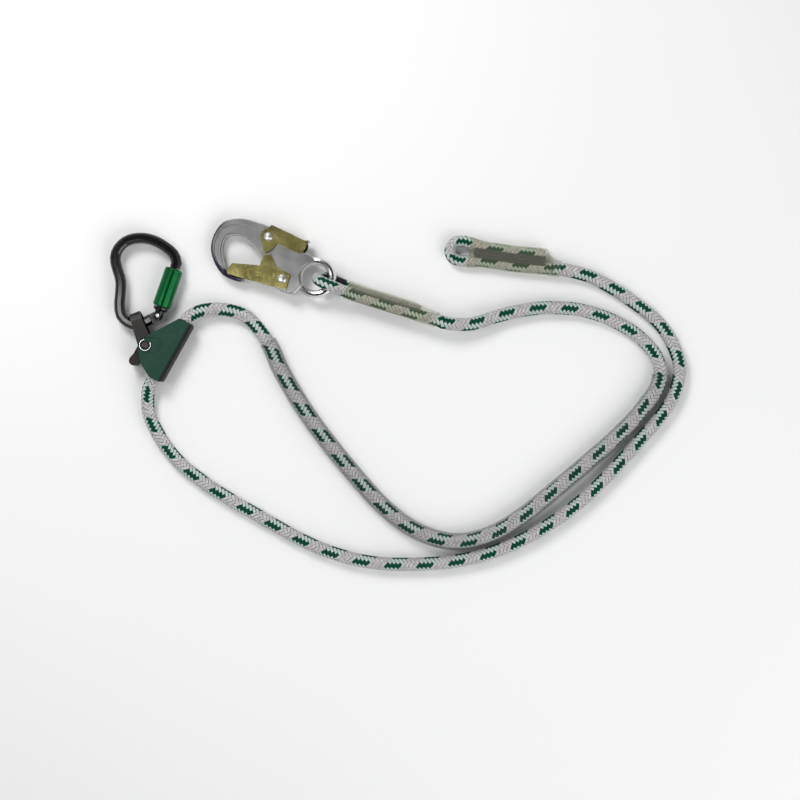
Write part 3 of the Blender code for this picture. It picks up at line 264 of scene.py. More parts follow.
# %% Metal
GLOSS_SPOTS = 420.0
GLOSS_BELOW, GLOSS_ABOVE = 0.010, 0.015
GRAIN_SPOTS = 900.0


def metal(name, colour, cloud_colour, roughness, metallic=1.0, grain=0.00002, scale=90.0,
          tint=None, **more):
    """A used metal: soft clouds of colour, uneven gloss and fine grain. tint paints one place of it."""
    made = new_finish(name, colour, roughness, metallic, **more)
    body = blend(made, span(made, noise(made, scale), 0.30, 0.70), colour, cloud_colour)
    if tint is not None:
        body = tint(made, body)
    gloss = span(made, noise(made, GLOSS_SPOTS, 4.0), 0.3, 0.7,
                 roughness - GLOSS_BELOW, roughness + GLOSS_ABOVE)
    shade(made, Base_Color=body, Roughness=gloss, Normal=relief(made, noise(made, GRAIN_SPOTS), grain))
    return made


# %% [markdown]
# ### Where a finish changes
#
# Some pieces have two tones of painted light and shade: painted shade on a back, a painted
# highlight on a rim, painted highlights on edges. Each tone could be a material of its own, but the
# change would then follow the mesh's faces. Here it follows the place of each spot instead: along a
# direction, round an axis, or by the slope of the surface.

# %% Shares by place and slope
def beyond(made, origin, direction, low, high):
    """A share that grows from 0 to 1 as a spot lies from low to high metres along a direction."""
    tree = made.node_tree
    place = tree.nodes.new("ShaderNodeTexCoord")
    offset = tree.nodes.new("ShaderNodeVectorMath")
    offset.operation = "SUBTRACT"
    tree.links.new(place.outputs["Object"], offset.inputs[0])
    offset.inputs[1].default_value = origin
    dot = tree.nodes.new("ShaderNodeVectorMath")
    dot.operation = "DOT_PRODUCT"
    tree.links.new(offset.outputs[0], dot.inputs[0])
    dot.inputs[1].default_value = direction
    return span(made, dot.outputs["Value"], low, high)


def ring_share(made, axis_spot, low, high):
    """A share that grows from 0 to 1 as a spot lies from low to high metres from an upright axis."""
    tree = made.node_tree
    place = tree.nodes.new("ShaderNodeTexCoord")
    flat = tree.nodes.new("ShaderNodeVectorMath")
    flat.operation = "MULTIPLY_ADD"
    tree.links.new(place.outputs["Object"], flat.inputs[0])
    flat.inputs[1].default_value = (1.0, 1.0, 0.0)
    flat.inputs[2].default_value = (-axis_spot[0], -axis_spot[1], 0.0)
    far = tree.nodes.new("ShaderNodeVectorMath")
    far.operation = "LENGTH"
    tree.links.new(flat.outputs[0], far.inputs[0])
    return span(made, far.outputs["Value"], low, high)


def slope_share(made):
    """A share that is 1 on rounded and chamfered edges of flat pieces, and 0 on faces and walls."""
    tree = made.node_tree
    place = tree.nodes.new("ShaderNodeTexCoord")
    parts = tree.nodes.new("ShaderNodeSeparateXYZ")
    tree.links.new(place.outputs["Normal"], parts.inputs[0])
    level = calc(made, "ABSOLUTE", parts.outputs[2])
    return calc(made, "MULTIPLY", span(made, level, 0.97, 0.88), span(made, level, 0.10, 0.35))


# %% [markdown]
# ### The adjuster's tones
#
# The adjuster is a folded sheet of painted metal. Its cheeks are green, and its folded back gets
# painted shade, nearly black, with a soft change at the fold. The clip on its pin gets a painted
# highlight at its rim and painted shade inside it.

# %% Tones of the adjuster
ADJUSTER_PLACE = (-0.0731, -0.0441, 0.0106)
ADJUSTER_TURN = math.radians(60.9)
ADJUSTER_ACROSS = Vector((math.sin(ADJUSTER_TURN), -math.cos(ADJUSTER_TURN), 0.0))
PIN_SPOT = Vector(ADJUSTER_PLACE) + ORIGIN_SHIFT
BACK_FROM, BACK_TO = 0.0264, 0.0284
RIM_FROM, RIM_TO = 0.0047, 0.0050
# Painted shade on the folded back.
BACK_PAINTED_SHADE = (0.0030, 0.0032, 0.0030)
# Painted shade on the clip's face inside its rim, which keeps a painted highlight.
CLIP_FACE_SHADE = (0.012, 0.018, 0.016)


def painted_shade_back(made, body):
    """Painted shade on the shell's folded back, which comes out darker than its cheeks."""
    back = beyond(made, PIN_SPOT, ADJUSTER_ACROSS, BACK_FROM, BACK_TO)
    return blend(made, back, body, BACK_PAINTED_SHADE)


def painted_rim_highlight(made, body):
    """A painted highlight at the clip's rim, and painted shade on the rest of its face."""
    rim = ring_share(made, PIN_SPOT, RIM_FROM, RIM_TO)
    return blend(made, rim, CLIP_FACE_SHADE, body)


# %% [markdown]
# ### The hook's tones
#
# The hook's rounded edges get a painted highlight, and the outside of its bow gets painted shade,
# dark and purplish. The gate and the lever are olive gold sheet, as zinc plating gives, with fine
# pale grains, and their bends get a painted highlight where they catch the light.

# %% Tones of the hook
HOOK_BOW = spot(240, 247)
BOW_FROM, BOW_TO = 0.0250, 0.0268
BOW_OUTWARD = (-0.93, -0.30, 0.0)
BOW_FADE = 0.012
# The first colour is a painted highlight on the rounded edges, the second painted shade on the outside of
# the bow.
STEEL_EDGE_HIGHLIGHT, STEEL_BOW_SHADE = (0.80, 0.80, 0.79), (0.040, 0.034, 0.062)
# Pale grains first; the second colour is a painted highlight on the bends.
PALE_ZINC, ZINC_BEND_HIGHLIGHT = (0.55, 0.50, 0.22), (0.85, 0.78, 0.40)
ZINC_GRAINS = 520.0


def hook_edge_highlight_and_bow_shade(made, colour):
    """Painted highlight on the hook's rounded edges, and painted shade, dark and purplish, on the outside
    of its bow.
    """
    bright = blend(made, slope_share(made), colour, STEEL_EDGE_HIGHLIGHT)
    outside = calc(made, "MULTIPLY", ring_share(made, HOOK_BOW, BOW_FROM, BOW_TO),
                   beyond(made, HOOK_BOW, BOW_OUTWARD, 0.0, BOW_FADE))
    return blend(made, outside, bright, STEEL_BOW_SHADE)


def zinc_grains_and_bend_highlight(made, colour):
    """Zinc sheet shows fine pale grains, and its bends catch the light."""
    grains = span(made, noise(made, ZINC_GRAINS, 2.0), 0.52, 0.72, 0.0, 0.55)
    grained = blend(made, grains, colour, PALE_ZINC)
    return blend(made, slope_share(made), grained, ZINC_BEND_HIGHLIGHT)


# %% [markdown]
# ### Metals on the model
#
# The record names a finish for each imported piece. The pin and its clip share one name there, but
# the photograph shows a dark pin in a bright clip, so these two are looked up first.

# %% Metals on the model
# Painted light among these: painted shade on the adjuster's back and on the clip's face, painted
# highlights on the clip's rim, the hook's edges and the zinc's bends, and painted shade on the hook's bow.
finishes = {
    "green_paint": metal("green_paint", (0.0085, 0.042, 0.026), (0.013, 0.054, 0.034), 0.50, 0.0,
                         0.00006, 260.0, painted_shade_back, Specular_IOR_Level=0.22),
    "dark_cast": metal("dark_cast", (0.018, 0.012, 0.010), (0.032, 0.021, 0.017), 0.48, 0.2,
                       0.00006, Specular_IOR_Level=0.3),
    "olive_strap": metal("olive_strap", (0.007, 0.0065, 0.0045), (0.015, 0.011, 0.0085), 0.38, 0.0,
                         Specular_IOR_Level=0.4),
    "bright_steel": metal("bright_steel", (0.50, 0.50, 0.495), (0.60, 0.60, 0.59), 0.24),
    "pin_steel": metal("pin_steel", (0.030, 0.020, 0.030), (0.050, 0.037, 0.050), 0.25, 0.6),
    "clip_steel": metal("clip_steel", (0.55, 0.55, 0.54), (0.66, 0.66, 0.65), 0.24, 0.9,
                        tint=painted_rim_highlight),
    "black_alloy": metal("black_alloy", (0.0030, 0.0027, 0.0031), (0.0042, 0.0038, 0.0042), 0.11,
                         0.0, 0.000001, Specular_IOR_Level=0.45),
    "green_alloy": metal("green_alloy", (0.001, 0.095, 0.024), (0.003, 0.130, 0.034), 0.22, 0.75,
                         0.000001),
    "forged_steel": metal("forged_steel", (0.25, 0.25, 0.248), (0.38, 0.38, 0.375), 0.22, 1.0,
                          0.0000005, 70.0, hook_edge_highlight_and_bow_shade),
    "zinc_steel": metal("zinc_steel", (0.085, 0.078, 0.022), (0.33, 0.29, 0.105), 0.22, 1.0,
                        0.000002, 62.0, zinc_grains_and_bend_highlight),
}
own_finish = {"cam_pin": "pin_steel", "cam_pin_clip": "clip_steel"}
for piece in frame["record"]["subparts"]:
    if piece["material_slot"] in finishes:
        mesh = nodes[piece["node"]].data
        mesh.materials.clear()
        mesh.materials.append(finishes[own_finish.get(piece["node"], piece["material_slot"])])
print(len(finishes), "metal finishes")

# %% [markdown]
# ### Braided rope
#
# The rope is a herringbone braid of sixteen strands, light grey with a short green dash in every
# period. Sixteen modelled strands would need a huge mesh, so the braid is a finish with relief.
# Seen flat, the strands of one set follow `a = 8 (u + v)` and those of the other `b = 8 (u - v)`,
# where u grows by 1 in each period along the rope and v by 1 round it. A strand lies on top over
# two others, so the first set shows where `floor(a) - floor(b)` modulo 4 is below 2. Four strands
# next to each other are green.

# %% Measures of the braid
BRAID_PERIOD = 0.0306
STRANDS = 8
FLOAT = 2
GREEN_WIDE = 4
YARN_RIDGES = 3
STRAND_DEPTH = 0.0008
YARN_DEPTH = 0.12 * STRAND_DEPTH
LIGHT_YARN, SHADED_YARN = (0.76, 0.745, 0.745), (0.50, 0.48, 0.483)
GREEN_YARN, MINT_YARN = (0.0, 0.070, 0.036), (0.56, 0.76, 0.68)
FILM_TINT = (0.84, 0.84, 0.70)
BLACK, WHITE = (0.0, 0.0, 0.0), (1.0, 1.0, 1.0)
print("braid of", 2 * STRANDS, "strands,", 1000 * BRAID_PERIOD, "mm a period")

# %% [markdown]
# `weave` tells which set lies on top at a spot, whether that strand is green there, and how far
# the spot is across the strand. The other parts of the finish are worked out from these three.

# %% The weave
def weave(made):
    """Whether the first set is on top, whether its strand is green, and the place across the strand."""
    tree = made.node_tree
    place = tree.nodes.new("ShaderNodeUVMap")
    place.uv_map = "braid"
    parts = tree.nodes.new("ShaderNodeSeparateXYZ")
    tree.links.new(place.outputs[0], parts.inputs[0])
    u, v = parts.outputs[0], parts.outputs[1]
    a = calc(made, "MULTIPLY", calc(made, "ADD", u, v), float(STRANDS))
    b = calc(made, "MULTIPLY", calc(made, "SUBTRACT", u, v), float(STRANDS))
    strand_a, strand_b = calc(made, "FLOOR", a), calc(made, "FLOOR", b)
    turn = calc(made, "FLOORED_MODULO", calc(made, "SUBTRACT", strand_a, strand_b), 2.0 * FLOAT)
    first_on_top = calc(made, "LESS_THAN", turn, FLOAT - 0.5)
    group = calc(made, "FLOORED_MODULO", strand_a, float(STRANDS))
    in_green = calc(made, "LESS_THAN", group, GREEN_WIDE - 0.5)
    across_a, across_b = calc(made, "FRACT", a), calc(made, "FRACT", b)
    across = calc(made, "ADD", calc(made, "MULTIPLY", first_on_top, across_a),
                  calc(made, "MULTIPLY", calc(made, "SUBTRACT", 1.0, first_on_top), across_b))
    return first_on_top, in_green, across


def braid_colour(made, first_on_top, in_green, off, round_top):
    """Green dashes on light yarn, mint where the other set crosses them, painted shade in the creases."""
    plain = blend(made, span(made, noise(made, 330.0, 4.0), 0.3, 0.7), LIGHT_YARN, SHADED_YARN)
    bright = blend(made, in_green, plain, GREEN_YARN)
    tinted = blend(made, calc(made, "MULTIPLY", in_green, 0.5), plain, MINT_YARN)
    colour = blend(made, first_on_top, tinted, bright)
    # Painted shade: darker in the creases between strands and along the middle of each strand.
    pair = span(made, calc(made, "ABSOLUTE", off), 0.0, 0.30, 0.62, 1.0)
    crease_shade = calc(made, "MULTIPLY", span(made, round_top, 0.0, 0.66, 0.14, 1.0), pair)
    return blend(made, 1.0, colour, blend(made, crease_shade, BLACK, WHITE), "MULTIPLY")


def braid_finish(name, film=None):
    """The braid as a material. film(made) is the share of a spot that lies under tinted film."""
    made = new_finish(name, (0.5, 0.5, 0.5), 0.7, Specular_IOR_Level=0.12)
    first_on_top, in_green, across = weave(made)
    off = calc(made, "SUBTRACT", calc(made, "MULTIPLY", across, 2.0), 1.0)
    round_top = calc(made, "SUBTRACT", 1.0, calc(made, "MULTIPLY", off, off))
    tone = braid_colour(made, first_on_top, in_green, off, round_top)
    if film is not None:
        tone = blend(made, film(made), tone, FILM_TINT, "MULTIPLY")
    yarn = calc(made, "SINE", calc(made, "MULTIPLY", across, YARN_RIDGES * math.tau))
    ridges = relief(made, yarn, YARN_DEPTH)
    shade(made, Base_Color=tone, Roughness=span(made, noise(made, 900.0), 0.3, 0.7, 0.55, 0.80),
          Normal=relief(made, calc(made, "SQRT", round_top), STRAND_DEPTH, ridges))
    return made


rope_finish = braid_finish("rope_braid")
print("braid finish with", len(rope_finish.node_tree.nodes), "nodes")

# %% [markdown]
# ### Clear sleeve and shrunk film
#
# The wear sleeve and the films over the seams are clear plastic. Real glass-like refraction makes
# slow, noisy pictures of such thin walls, so they are see-through by alpha instead. Clear plastic
# shows its edges more than its middle, so it gets denser where it is seen at a slant. It keeps
# faint scuffs in its gloss.

# %% Clear plastic
SLANT_FROM, SLANT_TO = 0.20, 0.90
SCUFF_SPOTS = 500.0
DENT_SPOTS, DENT_DEPTH = 260.0, 0.00004


def clear_plastic(name, colour, middle, edge, roughness):
    """Plastic whose opacity goes from middle, seen straight on, to edge, seen at a slant."""
    made = new_finish(name, colour, roughness, IOR=1.5, Coat_Weight=0.4, Coat_Roughness=0.08)
    slant = made.node_tree.nodes.new("ShaderNodeLayerWeight")
    slant.inputs["Blend"].default_value = 0.35
    shade(made, Alpha=span(made, slant.outputs["Facing"], SLANT_FROM, SLANT_TO, middle, edge),
          Roughness=span(made, noise(made, SCUFF_SPOTS, 4.0), 0.35, 0.7, roughness * 0.7, roughness * 1.8),
          Normal=relief(made, noise(made, DENT_SPOTS, 2.0), DENT_DEPTH))
    return made


sleeve_finish = clear_plastic("sleeve_plastic", (0.13, 0.13, 0.126), 0.03, 0.88, 0.06)
cover_finish = clear_plastic("cover_film", (0.42, 0.42, 0.28), 0.06, 0.45, 0.14)
print("clear finishes:", sleeve_finish.name, cover_finish.name)

# %% [markdown]
# ### Guard and thread
#
# The guard in the hook's eye is matt black and finely pitted. The seam's thread is dark grey green
# and fuzzy. Both only need a fine noise in their relief.

# %% Guard and thread
PIT_SPOTS, PIT_DEPTH = 1500.0, 0.00008
FUZZ_SPOTS, FUZZ_DEPTH = 3000.0, 0.0001
DARK_THREAD, PALE_THREAD = (0.045, 0.050, 0.047), (0.095, 0.100, 0.095)

guard_finish = new_finish("guard_black", (0.004, 0.004, 0.004), 0.55, Specular_IOR_Level=0.2)
shade(guard_finish, Normal=relief(guard_finish, noise(guard_finish, PIT_SPOTS), PIT_DEPTH),
      Roughness=span(guard_finish, noise(guard_finish, 300.0), 0.3, 0.7, 0.35, 0.6))
thread_finish = new_finish("seam_thread", (0.07, 0.075, 0.07), 0.7, Specular_IOR_Level=0.2)
shade(thread_finish, Normal=relief(thread_finish, noise(thread_finish, FUZZ_SPOTS), FUZZ_DEPTH),
      Base_Color=blend(thread_finish, noise(thread_finish, 800.0), DARK_THREAD, PALE_THREAD))
print("matt finishes:", guard_finish.name, thread_finish.name)

# %% [markdown]
# ## From points to curves
#
# A rope's lie is easiest to give as a few chosen points. Blender's own curves could carry the
# mesh, but the braid needs to know how far along the rope each ring is, so the curve is worked
# out here. `smooth` runs a curve through chosen points, `evenly` spaces its points, and
# `stations` gives each one a frame: its place, its direction, its left and its top.

# %% Curves
def smooth(points, steps):
    """Points of a curve that runs through all the given ones."""
    knots = [Vector(point) for point in points]
    knots = [2 * knots[0] - knots[1]] + knots + [2 * knots[-1] - knots[-2]]
    curve = []
    for a, b, c, d in zip(knots, knots[1:], knots[2:], knots[3:]):
        before, here, after = (math.sqrt(chord.length) for chord in (b - a, c - b, d - c))
        leave = ((b - a) / before - (c - a) / (before + here) + (c - b) / here) * here
        arrive = ((c - b) / here - (d - b) / (here + after) + (d - c) / after) * here
        for step in range(steps):
            t = step / steps
            curve.append((2 * t**3 - 3 * t**2 + 1) * b + (t**3 - 2 * t**2 + t) * leave
                         + (3 * t**2 - 2 * t**3) * c + (t**3 - t**2) * arrive)
    curve.append(knots[-2])
    return curve


def evenly(curve, step):
    """The curve again, with points about one step apart."""
    reach = [0.0]
    for a, b in zip(curve, curve[1:]):
        reach.append(reach[-1] + (b - a).length)
    count = max(1, round(reach[-1] / step))
    spaced, index = [], 0
    for number in range(count + 1):
        goal = reach[-1] * number / count
        while index < len(curve) - 2 and reach[index + 1] < goal:
            index += 1
        share = (goal - reach[index]) / (reach[index + 1] - reach[index])
        spaced.append(curve[index].lerp(curve[index + 1], min(share, 1.0)))
    return spaced


def stations(points):
    """The frames of a curve, each carried on from the one before it without twisting."""
    made = []
    side = None
    for index, point in enumerate(points):
        ahead = (points[min(index + 1, len(points) - 1)] - points[max(index - 1, 0)]).normalized()
        if side is None:
            side = Vector((0.0, 0.0, 1.0)).cross(ahead)
        side = (side - ahead * side.dot(ahead)).normalized()
        made.append((point, ahead, side, ahead.cross(side)))
    return made


# %% [markdown]
# ## Pieces
#
# Every piece made here is a mesh that rides on one body of the model, so it moves with that body's
# joint, and has a slot that names its material on the real object.

# %% Pieces
def add_piece(name, points, faces, finish, body, around=None):
    """A mesh that rides on a body; around gives each face corner its braid coordinates."""
    mesh = bpy.data.meshes.new(name)
    mesh.from_pydata(points, [], faces)
    mesh.shade_smooth()
    mesh.materials.append(finish)
    if around is not None:
        layer = mesh.uv_layers.new(name="braid")
        corner = 0
        for face in around:
            for pair in face:
                layer.data[corner].uv = pair
                corner += 1
    made = bpy.data.objects.new(name, mesh)
    scene.collection.objects.link(made)
    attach(made, body)
    return made


# %% [markdown]
# ## A braided tube
#
# A tube follows the stations. Its braid coordinates run on from one ring to the next, rolled a
# little one way or the other as a rope rolls where it bends. A finish alone leaves the outline
# smooth, so the surface is also raised where a strand's middle lies.

# %% Braided tube
STRAND_HEIGHT = 0.0003
RING_STEP = 0.0013


def roll_at(reach, table):
    """How far the braid is rolled round the rope, in turns, at a distance along it."""
    for (near, first), (far, last) in zip(table, table[1:]):
        if reach <= far:
            share = (reach - near) / (far - near)
            return first + (last - first) * share * share * (3.0 - 2.0 * share)
    return table[-1][1]


def strand_rise(u, v):
    """The height of the braid over its lowest creases, from 0 to 1."""
    a, b = STRANDS * (u + v), STRANDS * (u - v)
    on_top = a if (math.floor(a) - math.floor(b)) % (2 * FLOAT) < FLOAT else b
    across = 2.0 * (on_top % 1.0) - 1.0
    return math.sqrt(max(0.0, 1.0 - across * across))


def add_tube(name, points, radius_at, sides, finish, body, start, turn, roll=None):
    """A closed braided tube. radius_at gives its radius at a share of its length."""
    frames = stations(points)
    reach = [0.0]
    for a, b in zip(points, points[1:]):
        reach.append(reach[-1] + (b - a).length)
    spots, faces, around = [], [], []
    rolled = [turn + (roll_at(gone, roll) if roll else 0.0) for gone in reach]
    for (place, ahead, side, top), gone, shift in zip(frames, reach, rolled):
        low = radius_at(gone / reach[-1]) - STRAND_HEIGHT
        for k in range(sides):
            angle = math.tau * k / sides
            rise = strand_rise(start + gone / BRAID_PERIOD, shift + k / sides)
            radius = low + STRAND_HEIGHT * rise
            spots.append(place + side * (math.cos(angle) * radius) + top * (math.sin(angle) * radius))
    for ring in range(len(points) - 1):
        u0, u1 = (start + reach[ring + i] / BRAID_PERIOD for i in (0, 1))
        v0, v1 = rolled[ring], rolled[ring + 1]
        for k in range(sides):
            a, b = ring * sides + k, ring * sides + (k + 1) % sides
            faces.append((a, b, b + sides, a + sides))
            left, right = k / sides, (k + 1) / sides
            around.append(((u0, v0 + left), (u0, v0 + right), (u1, v1 + right), (u1, v1 + left)))
    first, last = list(range(sides)), list(range(len(spots) - sides, len(spots)))
    faces += [tuple(reversed(first)), tuple(last)]
    around += [[(start, turn)] * sides, [(start + reach[-1] / BRAID_PERIOD, turn)] * sides]
    return add_piece(name, spots, faces, finish, body, around)


# %% [markdown]
# ## The rope's lie
#
# The rope leaves the hook's eye, lies on the floor, goes through the wear sleeve and the adjuster,
# and ends in the tail's eye. The solids take the same route, so it is repeated here: each point is
# x, y and its lift over a rope that rests on the floor.

# %% Where the eyes and the adjuster lie
HOOK_EYE_PLACE = (0.0892, 0.0205, 0.0)
HOOK_EYE_TURN = math.radians(-21.2)
TAIL_EYE_PLACE = (0.2288, 0.0466, 0.0)
TAIL_EYE_TURN = math.radians(-8.5)


def place_in(origin, angle):
    """The frame of an eye or the adjuster, with x along it."""
    return Matrix.Translation(Vector(origin) + ORIGIN_SHIFT) @ Matrix.Rotation(angle, 4, "Z")


hook_eye = place_in(HOOK_EYE_PLACE, HOOK_EYE_TURN)
tail_eye = place_in(TAIL_EYE_PLACE, TAIL_EYE_TURN)
adjuster = place_in(ADJUSTER_PLACE, ADJUSTER_TURN)
print("eyes at", [[round(v, 3) for v in eye.translation] for eye in (hook_eye, tail_eye)])

# %% Runs on the floor
ROPE_DIAMETER = 0.0127
FLOOR_GAP = 0.0001
BARE_RUN = (
    (0.2120, -0.0228, 0.0103),
    (0.2368, -0.0237, 0.0050),
    (0.2685, -0.0145, 0.0006),
    (0.3088, -0.0078, 0.0000),
    (0.3520, -0.0121, 0.0000),
    (0.3924, -0.0304, 0.0004),
    (0.4142, -0.0525, 0.0018),
)
SLEEVED_RUN = (
    (0.4199, -0.0722, 0.0022),
    (0.4165, -0.0856, 0.0022),
    (0.4085, -0.0975, 0.0022),
    (0.3885, -0.1214, 0.0022),
    (0.3171, -0.1838, 0.0022),
    (0.2829, -0.2107, 0.0022),
    (0.2541, -0.2265, 0.0022),
    (0.2224, -0.2324, 0.0022),
    (0.1905, -0.2245, 0.0022),
    (0.1603, -0.2047, 0.0022),
    (0.1226, -0.1643, 0.0022),
    (0.0813, -0.1109, 0.0022),
    (0.0552, -0.0673, 0.0022),
    (0.0429, -0.0408, 0.0022),
)
ADJUSTER_RUN = (
    (0.0218, -0.0163, 0.0012),
    (-0.0005, -0.0095, 0.0012),
    (-0.0214, -0.0110, 0.0028),
)
TAIL_RUN = (
    (-0.0718, -0.0878, 0.0026),
    (-0.0710, -0.1109, 0.0005),
    (-0.0497, -0.1481, 0.0000),
    (-0.0194, -0.1751, 0.0000),
    (0.0350, -0.2085, 0.0000),
    (0.0891, -0.2374, 0.0000),
    (0.1360, -0.2515, 0.0000),
    (0.1842, -0.2542, 0.0000),
    (0.2365, -0.2487, 0.0000),
    (0.2848, -0.2320, 0.0000),
    (0.3410, -0.1957, 0.0000),
    (0.3977, -0.1378, 0.0000),
    (0.4314, -0.0945, 0.0000),
    (0.4380, -0.0640, 0.0000),
    (0.4231, -0.0283, 0.0000),
    (0.3920, -0.0010, 0.0000),
    (0.3530, 0.0216, 0.0004),
)


def on_floor(run):
    """The places of a run's points."""
    return [Vector((x, y, FLOOR_GAP + ROPE_DIAMETER / 2 + lift)) + ORIGIN_SHIFT for x, y, lift in run]


# %% [markdown]
# The ends of the rope and its way past the cam are given in the frames of the eyes and the
# adjuster, because they have to stay with those pieces.

# %% Ends and the way past the cam
HOOK_EYE_ROPE = ((0.1153, 0.0034, 0.0182), (0.1250, 0.0042, 0.0178))
TAIL_EYE_ROPE = ((0.0985, -0.0033, 0.0074), (0.0886, -0.0039, 0.0075))
ROPE_STRAIGHT = (
    (0.0415, -0.0214),
    (0.0300, -0.0212),
    (0.0100, -0.0212),
    (-0.0080, -0.0212),
    (-0.0220, -0.0212),
    (-0.0300, -0.0215),
)

runs = (
    [hook_eye @ Vector(point) for point in HOOK_EYE_ROPE],
    on_floor(BARE_RUN),
    on_floor(SLEEVED_RUN),
    on_floor(ADJUSTER_RUN),
    [adjuster @ Vector((along, across, 0.0)) for along, across in ROPE_STRAIGHT],
    on_floor(TAIL_RUN),
    [tail_eye @ Vector(point) for point in TAIL_EYE_ROPE],
)
knots = [point for run in runs for point in run]
CURVE_STEPS = 12
curve = smooth(knots, CURVE_STEPS)
rope_path = evenly(curve, RING_STEP)
rope_length = sum((b - a).length for a, b in zip(rope_path, rope_path[1:]))
print(len(knots), "points,", len(rope_path), "rings,", round(rope_length, 3), "m between the eyes")

# %% [markdown]
# ## The rope
#
# The rope thins a little where it enters the sewn eyes. How its braid is rolled was matched to the
# green dashes of the photograph: `ROLL` gives the roll in turns at distances along the rope.

# %% Rope
ROPE_SIDES = 48
ROPE_START, ROPE_TURN = 0.45, 0.0425
ROLL = ((0.0, 0.06), (0.15, 0.0), (0.28, -0.03), (0.60, 0.10), (0.84, 0.14), (1.0, 0.0), (1.8, -0.02))
NECK_LENGTH = 0.012
NECK_THINNING = 0.0006


def rope_radius(share):
    """The rope's radius at a share of its length."""
    end = min(share, 1.0 - share) * rope_length
    return ROPE_DIAMETER / 2 - NECK_THINNING * (1.0 - min(end / NECK_LENGTH, 1.0))


rope = add_tube("rope_braided", rope_path, rope_radius, ROPE_SIDES, rope_finish, "lanyard",
                ROPE_START, ROPE_TURN, ROLL)
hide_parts("rope")
print("rope", len(rope.data.polygons), "faces")

# %% [markdown]
# ## The wear sleeve
#
# A clear plastic hose guards the rope where it rubs. It could be a glossy film painted on the rope,
# but a real wall stands off it and shows at the edges and ends, so it is an open tube. It covers
# the run from the first point of its route to the adjuster's side.

# %% Wear sleeve
SLEEVE_OUTER, SLEEVE_BORE = 0.0170, 0.0146
SLEEVE_STEP = 0.004
SLEEVE_SIDES = 32


def add_shell_tube(name, points, outer, inner, sides, finish, body):
    """An open tube with a wall."""
    spots, faces = [], []
    for place, ahead, side, top in stations(points):
        for radius in (outer / 2, inner / 2):
            for k in range(sides):
                angle = math.tau * k / sides
                spots.append(place + side * (math.cos(angle) * radius) + top * (math.sin(angle) * radius))
    ring = 2 * sides
    for index in range(len(points) - 1):
        for k in range(sides):
            a, b = index * ring + k, index * ring + (k + 1) % sides
            faces.append((a, b, b + ring, a + ring))
            faces.append((b + sides, a + sides, a + sides + ring, b + sides + ring))
    last = (len(points) - 1) * ring
    for k in range(sides):
        n = (k + 1) % sides
        faces.append((n, k, k + sides, n + sides))
        faces.append((last + k, last + n, last + n + sides, last + k + sides))
    return add_piece(name, spots, faces, finish, body)


sleeve_from = len(runs[0]) + len(runs[1])
sleeve_to = sleeve_from + len(runs[2]) - 1
sleeve_path = evenly(curve[sleeve_from * CURVE_STEPS:sleeve_to * CURVE_STEPS + 1], SLEEVE_STEP)
sleeve = add_shell_tube("wear_sleeve_clear", sleeve_path, SLEEVE_OUTER, SLEEVE_BORE, SLEEVE_SIDES,
                        sleeve_finish, "lanyard")
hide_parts("wear_sleeve")
print("sleeve", len(sleeve_path), "rings")

# %% [markdown]
# ## The sewn eyes
#
# Each eye is a thinner leg of the same rope, folded back and stitched to itself. The two legs lie
# against each other: one over the other in the hook's eye, side by side in the tail's. Every
# section of seam and film is drawn across their middle. So the seam and the film follow the legs,
# which boxes or straight tubes laid over them would not do. Each point of a route is x, y and z in
# the eye's own frame.

# %% Routes of the eyes
HOOK_EYE_ROUTE = (
    (0.1145, 0.0033, 0.0182),
    (0.0950, 0.0016, 0.0184),
    (0.0750, 0.0000, 0.0185),
    (0.0550, -0.0013, 0.0185),
    (0.0390, -0.0022, 0.0186),
    (0.0310, -0.0025, 0.0196),
    (0.0252, -0.0026, 0.0226),
    (0.0195, -0.0027, 0.0262),
    (0.0122, -0.0027, 0.0268),
    (0.0051, -0.0019, 0.0238),
    (0.0022, 0.0000, 0.0167),
    (0.0051, 0.0019, 0.0096),
    (0.0122, 0.0027, 0.0066),
    (0.0270, 0.0027, 0.0070),
    (0.0390, 0.0028, 0.0070),
    (0.0550, 0.0037, 0.0070),
    (0.0750, 0.0050, 0.0070),
    (0.0920, 0.0063, 0.0070),
)
TAIL_EYE_ROUTE = (
    (0.0877, -0.0040, 0.0074),
    (0.0700, -0.0052, 0.0070),
    (0.0500, -0.0063, 0.0069),
    (0.0320, -0.0063, 0.0068),
    (0.0200, -0.0064, 0.0068),
    (0.0100, -0.0079, 0.0068),
    (0.0000, -0.0094, 0.0068),
    (-0.0080, -0.0070, 0.0068),
    (-0.0110, 0.0000, 0.0068),
    (-0.0080, 0.0070, 0.0068),
    (0.0000, 0.0094, 0.0068),
    (0.0100, 0.0079, 0.0068),
    (0.0200, 0.0064, 0.0068),
    (0.0320, 0.0063, 0.0068),
    (0.0500, 0.0063, 0.0069),
    (0.0700, 0.0074, 0.0070),
    (0.0800, 0.0078, 0.0070),
)
print(len(HOOK_EYE_ROUTE), "and", len(TAIL_EYE_ROUTE), "points in the eyes")

# %% Across the two legs
def leg_at(leg, along):
    """The leg's middle at a distance along the eye, past its ends too."""
    row = sorted(leg, key=lambda point: point.x)
    index = 1
    while index < len(row) - 1 and row[index].x < along:
        index += 1
    low, high = row[index - 1], row[index]
    return low + (high - low) * ((along - low.x) / (high.x - low.x))


def eye_place(standing, folded, along, spread=1.0):
    """Middle, sideways and upward directions and half spacing of an eye's two legs."""
    kept, other = leg_at(standing, along), leg_at(folded, along)
    other = kept + (other - kept) * spread
    side = (other - kept).normalized()
    rise = Vector((1.0, 0.0, 0.0)).cross(side).normalized()
    return (kept + other) / 2, side, rise, (other - kept).length / 2


# %% [markdown]
# ### The film
#
# A clear film is shrunk over each seam and closes on the single rope past it. The tables give, at
# distances along the eye, how much of the legs' spacing is left and the film's bore.

